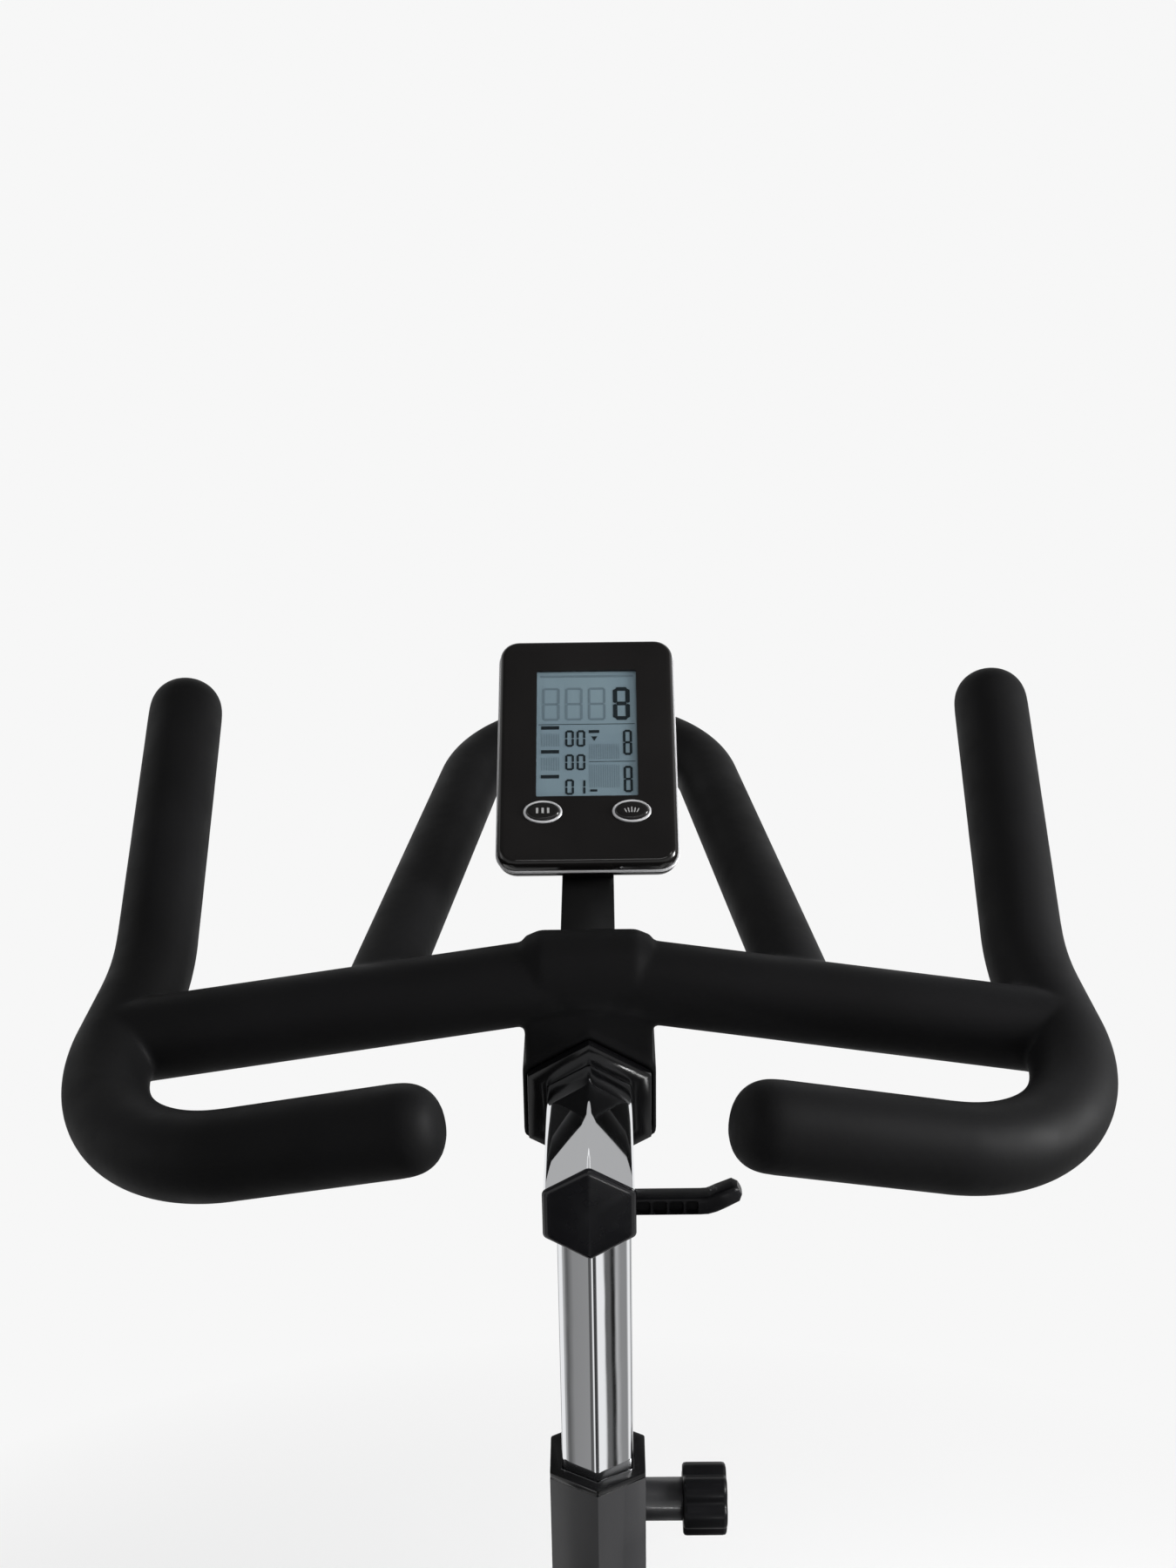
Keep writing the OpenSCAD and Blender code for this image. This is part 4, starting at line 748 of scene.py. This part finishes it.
def foot(name):
    lo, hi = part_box(name)
    at = Matrix.Translation(((lo.x + hi.x) / 2, (lo.y + hi.y) / 2, 0))
    pad = [(0.01, 0), (20.5, 0), (21.6, 0.5), (22, 1.6), (22, 3), (21.2, 3.4), (21.2, 4.2), (22, 4.6), (22, 6.4),
           (21.4, 7.8), (19.8, 8.8), (13, 9.9), (0.01, 10)]
    for o in (lathe(name + "_pad", pad, "cap_rubber", at), hex_nut(name + "_nut", 15.4, 10, 15, at),
              threads(name + "_stud", 5, 9, hi.z * 1000, 1.5, at)):
        place(o, name, "cap_rubber", name)


def pull_pin(name):
    """A rod along X, with its knob at the right end."""
    lo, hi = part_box(name)
    mid, width = (lo + hi) / 2, 0.026
    tip, end = lo.x * 1000, hi.x * 1000 - 20
    rod = [(0.01, tip), (3.7, tip), (4.5, tip + 0.8), (4.5, end), (0.01, end)]
    for o in (lathe(name + "_rod", rod, "plain_steel", along_x((0, mid.y, mid.z)), 32),
              knob(name + "_knob", 0.021, width, 6, 0.0032, along_x((hi.x - width, mid.y, mid.z)))):
        place(o, name, "knob_plastic", name)


def joint_axis(name):
    return Vector(next(j["axis"] for j in frame["record"]["behaviour"]["joints"] if j["name"] == name))


def brake_knob():
    """The brake screw's knob and rod, square on the main beam."""
    up = -joint_axis("brake_press")
    wheel = box_mid("flywheel")
    heights = [(Vector(v.co) - wheel).dot(up) for v in nodes["brake_screw"].data.vertices]
    low, top, width = min(heights), max(heights), 0.034
    side = Vector((1, 0, 0))
    rot = Matrix((side, up.cross(side), up)).transposed().to_4x4()
    for o in (knob("brake_knob", 0.027, width, 8, 0.0042, Matrix.Translation(wheel + up * (top - width)) @ rot),
              threads("brake_rod", 6, low * 1000, top * 1000 - 33, 1.5, Matrix.Translation(wheel) @ rot)):
        place(o, "brake_screw", "knob_plastic", "brake_screw")


def lever(name, matrix, stud):
    """Clamp lever with a hub, an arm with ribbed pockets and a rounded, bent tip; the arm points along +X."""
    hub = [(0.01, 0), (10.6, 0), (11.7, -0.7), (12, -2), (12, -29.5), (11.6, -31), (10.4, -32), (6, -32), (5.6, -31.4),
           (0.01, -31.4)]
    place(lathe(name + "_hub", hub[::-1], "knob_plastic", matrix), name, "knob_plastic", name)
    place(threads(name + "_stud", 5, -1, stud, 1.25, matrix), name, "knob_plastic", name)
    # the arm's x, z, share of the bend, width and height, in mm
    path = [(x, z, k, 12, 10) for x, z, k in ((6, -23, 0), (20, -23, 0), (40, -23, 0), (54, -23, 0),
                                              (57.5, -22.8, 0.22), (60.5, -21.8, 0.75), (64, -20, 1))]
    path += [(71.5, -16.2, 1, 11.4, 9.4), (73.6, -15.1, 1, 7.5, 5.5)]
    loops = []
    for x, z, k, w, h in path:
        a = math.radians(27) * k
        n, t, c = Vector((-math.sin(a), 0, math.cos(a))), Vector((0, -1, 0)), Vector((x, 0, z))
        loops.append([(c + t * u + n * v) / 1000 for u, v in round_rect(w, h, 2.4 if w > 8 else 1.8, 4)])
    arm = lofted(name + "_arm", loops, "knob_plastic", smooth=50)
    cutters = []
    for x0, x1 in ((14, 21), (22.2, 29.2), (30.4, 37.4), (38.6, 45.6), (46.8, 53)):
        pts = round_rect(x1 - x0, 7.6, 1.2, 3, (x0 + x1) / 2, -23)
        pocket = [[(x / 1000, y, z / 1000) for x, z in pts] for y in (-0.02, -0.0026)]
        cutters.append(lofted("cutter", pocket, "knob_plastic"))
    place(shade(cut(arm, cutters), 45), name, "knob_plastic", name, at=matrix)


def levers():
    hub_h, hub_r = 0.032, 0.012
    lo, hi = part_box("clamp_lever")
    top = lo.z + hub_h
    lever("clamp_lever", Matrix.Translation((0, lo.y + hub_r, top)), (hi.z - top) * 1000)
    lo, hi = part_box("saddle_lever")
    x = hi.x - hub_h
    m = Matrix(((0, 0, -1, x), (0, -1, 0, lo.y + hub_r), (-1, 0, 0, hi.z - hub_r), (0, 0, 0, 1)))
    lever("saddle_lever", m, (x - lo.x) * 1000)


flywheel()
for word in ("left", "right"):
    caster("caster_" + word)
for word in ("front_left", "front_right", "rear_left", "rear_right"):
    foot("foot_" + word)
pull_pin("handlebar_pin")
pull_pin("saddle_pin")
brake_knob()
levers()

# ---- weld beads

TUBE_AF = 0.056
TUBE_CORNER = TUBE_AF / math.sqrt(3)


def even(points, step):
    """A closed run of points at about the same step."""
    out = []
    for i, p in enumerate(points):
        p, q = Vector(p), Vector(points[(i + 1) % len(points)])
        count = max(1, round((q - p).length / step))
        out += [p.lerp(q, k / count) for k in range(count)]
    return out


def weld(name, points):
    """Rippled bead along a closed run of points."""
    radius = 0.0024
    fine = even(points, 0.0016)
    radii = [radius * (1 + 0.13 * math.sin(2 * math.pi * i / 3.2)) for i in range(len(fine))]
    place(tube(name, fine, radius, "frame_paint", radii), "frame", "frame_paint")


def welds():
    up = -joint_axis("brake_press")
    along = Vector((0, up.z, -up.y))
    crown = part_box("head_tube")[0].z
    hy = box_mid("handlebar_pin").y
    corners = [math.radians(60 * k) for k in range(6)]
    weld("weld_head_tube", [(TUBE_CORNER * math.sin(a), hy + TUBE_CORNER * math.cos(a), crown + 0.025)
                            for a in corners])
    # main beam on the head tube
    w, h = 0.050, 0.072
    axis = Vector((0, hy, 0.605))
    pts = []
    for u, v, _ in even([(u, v, 0) for u, v in round_rect(w, h, 0.008, 3)], 0.002):
        p = axis + Vector((u, 0, 0)) + up * v
        face = hy - (TUBE_AF / 2 - 0.5 * abs(u)) / 0.866
        pts.append(p + along * ((face - p.y) / along.y))
    weld("weld_beam_head", pts)
    # seat tube on the main beam
    rise = joint_axis("saddle_height")
    out = Vector((0, rise.z, -rise.y))
    pin = box_mid("saddle_pin")
    pts = []
    for a in corners:
        p = Vector((0, pin.y, pin.z)) + Vector((1, 0, 0)) * (TUBE_CORNER * math.sin(a))
        p += out * (TUBE_CORNER * math.cos(a))
        pts.append(p + rise * (((axis + up * (h / 2)) - p).dot(up) / rise.dot(up)))
    weld("weld_seat_tube", pts)
    # fork legs under the crown
    for word in ("left", "right"):
        lo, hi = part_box("fork_" + word)
        x, y = (lo.x + hi.x) / 2, hy + 0.008
        lean = math.atan2(0.400 - y, crown + 0.0125 - 0.045)
        weld("weld_crown_" + word, [(x + u, y + v + 0.0125 * math.tan(lean), crown)
                                    for u, v in round_rect(0.024, 0.050 / math.cos(lean), 0.006, 3)])


welds()

# ---- screws, caps

def screw(name, r, matrix, body, slot):
    """Pan-head screw, in mm, with a recessed socket, its head standing on local Z."""
    head = [(r * 0.42, 1.1), (r * 0.55, 2.1), (r * 0.8, 1.9), (r * 0.96, 1.2), (r, 0.3), (r, -1), (0.01, -1),
            (0.01, 1.1)]
    place(lathe(name, head, "plain_steel", matrix, 32), body, slot)


def trims():
    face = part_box("belt_guard_outer")[1].x - 0.0015
    crank, axle = box_mid("crank_axle"), box_mid("flywheel")
    spots = [(crank, 0.088, turn) for turn in (100, 180, 260)] + [(axle, 0.034, turn) for turn in (50, -50)]
    for i, (c, r, turn) in enumerate(spots):
        a = math.radians(turn)
        at = along_x((face, c.y + r * math.cos(a), c.z + r * math.sin(a)))
        screw("guard_screw_%d" % i, 4.2, at, "frame", "guard_plastic")
    cap = [(0.01, -2), (9.6, -2), (9.6, -0.3), (9.2, 0), (6, 0), (5.6, -0.6), (0.01, -0.6)]
    for end, word, quarter in ((1, "right", math.pi / 2), (0, "left", -math.pi / 2)):
        at = Matrix.Translation((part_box("crank_arm_" + word)[end].x, crank.y, crank.z))
        at = at @ Matrix.Rotation(quarter, 4, "Y")
        place(lathe("crank_cap_" + word, cap[::-1], "knob_plastic", at, 48), "crank", "knob_plastic")


# ---- pedals

def boxes(spans):
    """One cutter of many plain boxes, each (x0, x1, y0, y1, z0, z1) in mm."""
    verts, faces = [], []
    for x0, x1, y0, y1, z0, z1 in spans:
        k = len(verts)
        verts += [(x / 1000, y / 1000, z / 1000) for z in (z0, z1) for x, y in ((x0, y0), (x1, y0), (x1, y1), (x0, y1))]
        faces += [(k + 3, k + 2, k + 1, k), (k + 4, k + 5, k + 6, k + 7)]
        faces += [(k + i, k + (i + 1) % 4, k + 4 + (i + 1) % 4, k + 4 + i) for i in range(4)]
    return new_object("cutter", verts, faces, "pedal_plastic")


def side_profile(y0, y1, z0, z1, r_top, r_low, x0, x1):
    """Rounded at the front, in mm, and drawn out along x."""
    pts = [(y0, z0)]
    pts += [(y1 - r_low + u, z0 + r_low + v) for u, v in arc(r_low, 6, -90, 0)]
    pts += [(y1 - r_top + u, z1 - r_top + v) for u, v in arc(r_top, 8)]
    pts += [(y0, z1)]
    return lofted("pedal_cage", [[(x / 1000, y / 1000, z / 1000) for y, z in pts] for x in (x0, x1)], "pedal_plastic")


def window(w, h, r, at, turn=None):
    """Cutter with rounded corners, in mm, for an opening at a point."""
    o = prism(round_rect(w / 1000, h / 1000, r / 1000, 4), -0.03, 0.03)
    o.data.transform(Matrix.Translation(at) @ Matrix.Rotation(math.pi / 2 if turn else 0, 4, turn or "Z"))
    return o


def moulded(o, cutters, edge):
    """Cut out, of one material all over, and with eased edges."""
    dress(cut(o, cutters), "pedal_plastic")
    modify(o, "BEVEL", width=edge, segments=2, limit_method="ANGLE", angle_limit=math.radians(30),
           harden_normals=False)
    return shade(o, 40)


def pedal(word):
    name = "pedal_" + word
    lo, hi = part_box(name)
    at = Matrix.Translation(((lo.x + hi.x) / 2, lo.y + 0.044, lo.z + 0.013))
    body = prism(round_rect(0.092, 0.088, 0.011, 4), -0.013, 0.013)
    grooves = [(i * 6 - 1.3, i * 6 + 1.3, y0, y1, z0, z1) for i in range(-6, 7)
               for y0, y1 in ((-50, -35.2), (35.2, 50), (-8, 8)) for z0, z1 in ((-20, -11.6), (11.6, 20))]
    slots = [window(72, 23, 4, (0, y, 0)) for y in (0.0225, -0.0225)]
    bore = lathe("cutter", [(0.01, -60), (7.06, -60), (7.06, 60), (0.01, 60)], "pedal_plastic", along_x((0, 0, 0)), 32)
    place(moulded(body, slots + [bore, boxes(grooves)], 0.0005), name, "pedal_plastic", name, at=at)
    cage = side_profile(36, 106, -1, 79, 16, 8, -40, 40)
    holes = [side_profile(20, 103, 2, 76, 13, 5, -37, 37), window(38, 78, 7, (0.040, 0.053, 0.046), "Y"),
             window(38, 78, 7, (-0.040, 0.053, 0.046), "Y"), window(52, 38, 7, (0, 0.106, 0.046), "X"),
             window(52, 34, 7, (0, 0.075, 0.076))]
    moulded(cage, holes, 0.0009)
    cage.name = name + "_cage"
    place(cage, name, "pedal_plastic", name, at=at)
    for x, suffix in ((-0.024, "_screw_a"), (0.024, "_screw_b")):
        turn = Matrix.Translation((x, 0.106, 0.011)) @ Matrix.Rotation(-math.pi / 2, 4, "X")
        screw(name + suffix, 3.6, at @ turn, name, "pedal_plastic")


trims()
for word in ("left", "right"):
    pedal(word)

# ---- the other nodes

for part in frame["record"]["subparts"]:
    dress(nodes[part["node"]], part["material_slot"])

# edges of the CAD nodes that stay in view, by the width they are rounded with
for width, names in {
        0.0006: "caster_axles pedal_spindles", 0.0007: "console_neck",
        0.0008: "main_beam fork_left fork_right front_stabiliser rear_stabiliser belt_guard_inner brake_guide "
                "flywheel_pulley crank_pulley",
        0.001: "bb_shell post_bushings crank_axle brake_shoe sleeve_bushing", 0.0012: "flywheel_axle",
        0.0015: "stabiliser_caps saddle_carrier",
        0.002: "head_tube seat_tube belt_guard_outer crank_arm_left crank_arm_right saddle_shell"}.items():
    for name in names.split():
        soften(name, width, 3 if width >= 0.0015 else 2)

# ---- saddle

STITCH = 0.0047
SEAM_STEP = 0.0015


def sew(name, runs, skin, above):
    """Stitches lying along runs of points, let down onto the skin."""
    verts, faces = [], []
    for points in runs:
        for i, p in enumerate(points):
            ahead = (points[(i + 1) % len(points)] - p).normalized()
            hit, up, _, _ = skin.ray_cast(Vector((p.x, p.y, above)), Vector((0, 0, -1)))
            if hit is None or up.z < 0.3:
                continue
            along = (ahead - up * ahead.dot(up)).normalized()
            side = up.cross(along)
            k = len(verts)
            for t, r in ((-0.0016, 0.00012), (-0.001, 0.0004), (0, 0.0005), (0.001, 0.0004), (0.0016, 0.00012)):
                verts += [hit + along * t + side * (r * math.cos(a)) + up * (r * math.sin(a)) for a in turns(6)]
            for row in range(k, k + 24, 6):
                faces += [(row + j, row + (j + 1) % 6, row + 6 + (j + 1) % 6, row + 6 + j) for j in range(6)]
            faces += [tuple(k + j for j in range(5, -1, -1)), tuple(k + 24 + j for j in range(6))]
    place(new_object(name, verts, faces, "thread"), "saddle", "saddle_cover")


def press(pad, bottom, top):
    """Swells the cushion with a short run of cloth under pressure, by 4 mm at most."""
    modify(pad, "REMESH", mode="VOXEL", voxel_size=0.005)
    bake(pad)
    before = [v.co.copy() for v in pad.data.vertices]
    settings = modify(pad, "CLOTH").settings
    settings.use_pressure = True
    settings.uniform_pressure_force = 4
    settings.effector_weights.gravity = 0
    settings.quality = 6
    for f in range(1, 16):
        scene.frame_set(f)
    bake(pad)
    scene.frame_set(1)
    most = 0.004
    for v, p in zip(pad.data.vertices, before):
        d = v.co - p
        if d.length > most:
            v.co = p + d * (most / d.length)
        v.co.z = max(bottom + 0.0003, min(top - 0.001, v.co.z))


def saddle():
    lo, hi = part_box("saddle_pad")
    length, half = hi.y - lo.y, (hi.x - lo.x) / 2
    bottom, top = lo.z, hi.z
    inset = 0.004

    def width(t):
        """Half width at share t of the length, from the tail to the nose."""
        tail = half * math.sin(min(1.0, t / 0.2) * math.pi / 2) ** 0.5
        waist = 0.026 + (half - 0.026) * (1 - 1 / (1 + math.exp(-(t - 0.42) * 14)))
        nose = math.sqrt(max(0.0, 1 - max(0.0, (t - 0.93) / 0.07) ** 2))
        return max(0.0006, min(tail, waist) * nose - inset * 0.5)

    rows, n = [], 40
    for i in range(n + 1):
        t = 0.5 - 0.5 * math.cos(math.pi * i / n)
        w, y = width(t), lo.y + inset + t * (length - 2 * inset)
        end = math.sin(math.pi * min(1, max(0, t))) ** 0.35 if 0 < t < 1 else 0
        h = (top - bottom - 0.006) * (0.55 + 0.45 * end) * (0.95 - 0.1 * math.exp(-((t - 0.55) / 0.16) ** 2))
        ring = []
        for a in turns(36):
            c, s = math.cos(a), math.sin(a)
            x = w * math.copysign(abs(c) ** 0.75, c)
            z = (0.62 if s > 0 else 0.38) * h * math.copysign(abs(s) ** 0.8, s)
            groove = 0.004 * math.exp(-(x / 0.008) ** 2) * math.exp(-((t - 0.5) / 0.28) ** 4) if s > 0 else 0
            ring.append((x, y, bottom + 0.001 + 0.38 * h + z - groove))
        rows.append(ring)
    pad = lofted("saddle_cushion", rows, "saddle_cover", smooth=80)
    press(pad, bottom, top)
    modify(pad, "SUBSURF", levels=2, render_levels=2)
    bake(pad)

    # sewn seam round the top panel, and the relief channel down the middle
    mid = (lo.y + hi.y) / 2
    edge = [(width(t), lo.y + inset + t * (length - 2 * inset)) for t in (k / 90 for k in range(91))]
    edge += [(-x, y) for x, y in reversed(edge)]

    def run(kx, ky, every=1):
        """The outline drawn in and smoothed, with one point kept out of so many."""
        pts = even([(x * kx, mid + (y - mid) * ky, 0) for x, y in edge], SEAM_STEP)
        for _ in range(60):
            pts = [(pts[i - 1] + p + pts[(i + 1) % len(pts)]) / 3 for i, p in enumerate(pts)]
        return pts[::every]

    seam = run(0.77, 0.9)
    tree = KDTree(len(seam))
    for i, p in enumerate(seam):
        tree.insert(p, i)
    tree.balance()
    for v in pad.data.vertices:
        if v.normal.z > 0.05:
            t = (v.co.y - lo.y) / length
            d = tree.find((v.co.x, v.co.y, 0))[2]
            v.co.z -= 0.0016 * math.exp(-(d / 0.0024) ** 2)
            v.co.z -= 0.0055 * math.exp(-(v.co.x / 0.0085) ** 2) * math.exp(-((t - 0.46) / 0.3) ** 6)
    skin = BVHTree.FromPolygons([v.co for v in pad.data.vertices], [p.vertices for p in pad.data.polygons])
    every = round(STITCH / SEAM_STEP)
    sew("saddle_stitches", [run(0.81, 0.925, every), run(0.73, 0.875, every)], skin, top + 0.02)
    place(shade(dress(pad, "saddle_cover")), "saddle", "saddle_cover", "saddle_pad")


saddle()

# ---- floor, light, camera

WHITE = 0.93
# where the bearings are taken from: the handlebar post
POST_Y = 0.273


def made(m, kind, *inputs, **values):
    """First output of a new node, fed in order by links or by plain values."""
    n = node(m, kind, **values)
    for value, socket in zip(inputs, n.inputs):
        if isinstance(value, (int, float)):
            socket.default_value = value
        else:
            link(m, value, socket)
    return n.outputs[0]


def combine(m, operation, a, b):
    return made(m, "ShaderNodeMath", a, b, operation=operation)


def split(m, vector):
    n = node(m, "ShaderNodeSeparateXYZ")
    link(m, vector, n.inputs[0])
    return n.outputs


def rays(m):
    """1 for reflections, and 1 for every ray that sees the backdrop itself."""
    path = node(m, "ShaderNodeLightPath").outputs
    seen = combine(m, "MAXIMUM", path["Is Camera Ray"], path["Is Glossy Ray"])
    return path["Is Glossy Ray"], combine(m, "MAXIMUM", seen, path["Is Transmission Ray"])


def flats(m, position):
    """Brightness of the studio flats, laid out by their bearing, in degrees, from the handlebar post."""
    xyz = split(m, position)
    bearing = combine(m, "ARCTAN2", combine(m, "SUBTRACT", xyz["Y"], POST_Y), xyz["X"])
    left = ((-159, 0.93), (-157.8, 0.75), (-156.5, 0.32), (-154.9, 0.45), (-153.2, 0.11), (-151.5, 0.27), (-146.5, 0.3),
            (-145, 0.08), (-141, 0.13), (-139, 0.4), (-136, 0.93))
    dark = ((-122, 0.93), (-112, 0.04), (-84, 0.06), (-70, 0.12), (-56, 0.93))
    right = ((-42, 0.93), (-33.3, 0.93), (-32.8, 0.13), (-31.6, 0.13), (-31, 0.02), (-30.4, 0.02), (-29.7, 0.5),
             (-28.6, 0.28), (-25, 0.27), (-23.5, 0.55), (-22, 0.93))
    ahead = [(middle + turn, value) for middle in (12, 42, 92, 138)
             for turn, value in ((-12, 0.93), (-5, 0.11), (6, 0.28), (12, 0.93))]
    product = 1
    for marks in (left, dark, right, ahead):
        first, last = marks[0][0], marks[-1][0]
        ramp = node(m, "ShaderNodeValToRGB")
        link(m, spread(m, bearing, 0, 1, math.radians(first), math.radians(last)), ramp.inputs[0])
        stops = ramp.color_ramp.elements
        while len(stops) > 1:
            stops.remove(stops[-1])
        for k, (turn, value) in enumerate(marks):
            value /= WHITE
            at = (turn - first) / (last - first)
            stop = stops.new(at) if k else stops[0]
            stop.position, stop.color = at, (value, value, value, 1)
        product = combine(m, "MULTIPLY", product, ramp.outputs["Color"])
    return combine(m, "MULTIPLY", product, WHITE)


def backdrop():
    """A floor lit by the lamps near the bike and plain white further off; reflections see the flats in it."""
    me = bpy.data.meshes.new("floor")
    me.from_pydata([(-40, -40, 0), (40, -40, 0), (40, 40, 0), (-40, 40, 0)], [], [(0, 1, 2, 3)])
    floor = add("floor", me)
    floor.location.z = -0.0005
    m = shader("floor", (0.86, 0.86, 0.86), 0.8, spec=0.1)
    made_by_default = m.node_tree.nodes
    glossy, seen = rays(m)
    position = node(m, "ShaderNodeNewGeometry").outputs["Position"]
    shown = node(m, "ShaderNodeMix", data_type="RGBA")
    shown.inputs[6].default_value = (WHITE, WHITE, WHITE, 1)
    link(m, flats(m, position), shown.inputs[7])
    link(m, glossy, shown.inputs[0])
    glow = made(m, "ShaderNodeEmission", shown.outputs[2], 1.0)
    distance = node(m, "ShaderNodeVectorMath", operation="LENGTH")
    link(m, position, distance.inputs[0])
    far = spread(m, distance.outputs["Value"], 0, 1, 0.85, 1.35)
    share = combine(m, "MULTIPLY", seen, combine(m, "MAXIMUM", far, glossy))
    mix = made(m, "ShaderNodeMixShader", share, made_by_default["Principled BSDF"].outputs[0], glow)
    link(m, mix, made_by_default["Material Output"].inputs["Surface"])
    me.materials.append(m)


def studio():
    """Soft white light from all round; what reflections see of it is darker towards the top."""
    w = scene.world = bpy.data.worlds.new("studio")
    w.use_nodes = True
    light = w.node_tree.nodes["Background"]
    light.inputs["Color"].default_value = (1, 1, 1, 1)
    light.inputs["Strength"].default_value = 0.3
    glossy, seen = rays(w)
    white = made(w, "ShaderNodeBackground", Color=(WHITE, WHITE, WHITE, 1), Strength=1.0)
    height = split(w, node(w, "ShaderNodeTexCoord").outputs["Generated"])["Z"]
    dim = made(w, "ShaderNodeBackground", spread(w, height, WHITE, 0.14, 0.45, 0.62))
    plain = made(w, "ShaderNodeMixShader", seen, light.outputs[0], white)
    link(w, made(w, "ShaderNodeMixShader", glossy, plain, dim), w.node_tree.nodes["World Output"].inputs["Surface"])


def lamp(name, at, look, size, power):
    d = bpy.data.lights.new(name, "AREA")
    d.shape, d.energy = "RECTANGLE", power
    d.size, d.size_y = size
    o = add(name, d)
    o.location = at
    o.rotation_euler = (Vector(look) - Vector(at)).to_track_quat("-Z", "Y").to_euler()
    return o


backdrop()
studio()
lamp("top", (0.3, 0.5, 3.2), (0, 0.1, 0.9), (2.4, 2.0), 28).visible_glossy = False
lamp("edge", (1.1, -0.5, 2.9), (0, 0.1, 1.1), (0.25, 0.5), 3)
lamp("strip", (0.25, -0.9, 2.7), (0, 0.1, 1.1), (1.0, 0.12), 4)
lamp("behind", (0.85, -3.0, 0.5), (0, 0.1, 1.06), (0.5, 0.12), 12)
lamp("right", (2.6, -0.6, 2.0), (0, 0.1, 1.0), (1.4, 1.8), 28)
lamp("near", (1.15, 0.05, 1.35), (0.25, 0.15, 1.1), (0.3, 0.5), 26)
lamp("left", (-2.6, -0.2, 1.8), (0, 0.1, 1.0), (1.0, 1.8), 8)
# small cards over the slider, one on each side of its ridge
for side, word in ((1, "right"), (-1, "left")):
    at = Vector((0.033 * side, bar_y - 0.029, slider_z + SLIDER_AF / math.sqrt(3) + 0.0265))
    card = lamp("card_" + word, at, at + Vector((0, -1, 0)), (0.084, 0.03), 0.0036)
    card.rotation_euler.rotate_axis("Z", math.radians(8.5) * side)
    card.visible_camera = card.visible_diffuse = False


def camera():
    d = bpy.data.cameras.new("camera")
    d.sensor_fit = "AUTO"
    d.sensor_width = 36
    d.lens = 49.34
    d.clip_start, d.clip_end = 0.05, 100
    o = add("camera", d)
    pitch, yaw, roll = math.radians(23.16), math.radians(0.52), math.radians(-0.89)
    ahead = Vector((math.sin(-yaw) * math.cos(pitch), math.cos(yaw) * math.cos(pitch), -math.sin(pitch)))
    level = ahead.cross(Vector((0, 0, 1))).normalized()
    above = level.cross(ahead)
    x = level * math.cos(roll) + above * math.sin(roll)
    y = -level * math.sin(roll) + above * math.cos(roll)
    o.matrix_world = Matrix.Translation((0.0096, -0.7395, 1.6081)) @ Matrix((x, y, -ahead)).transposed().to_4x4()
    scene.camera = o


camera()
scene.view_settings.view_transform = "Standard"
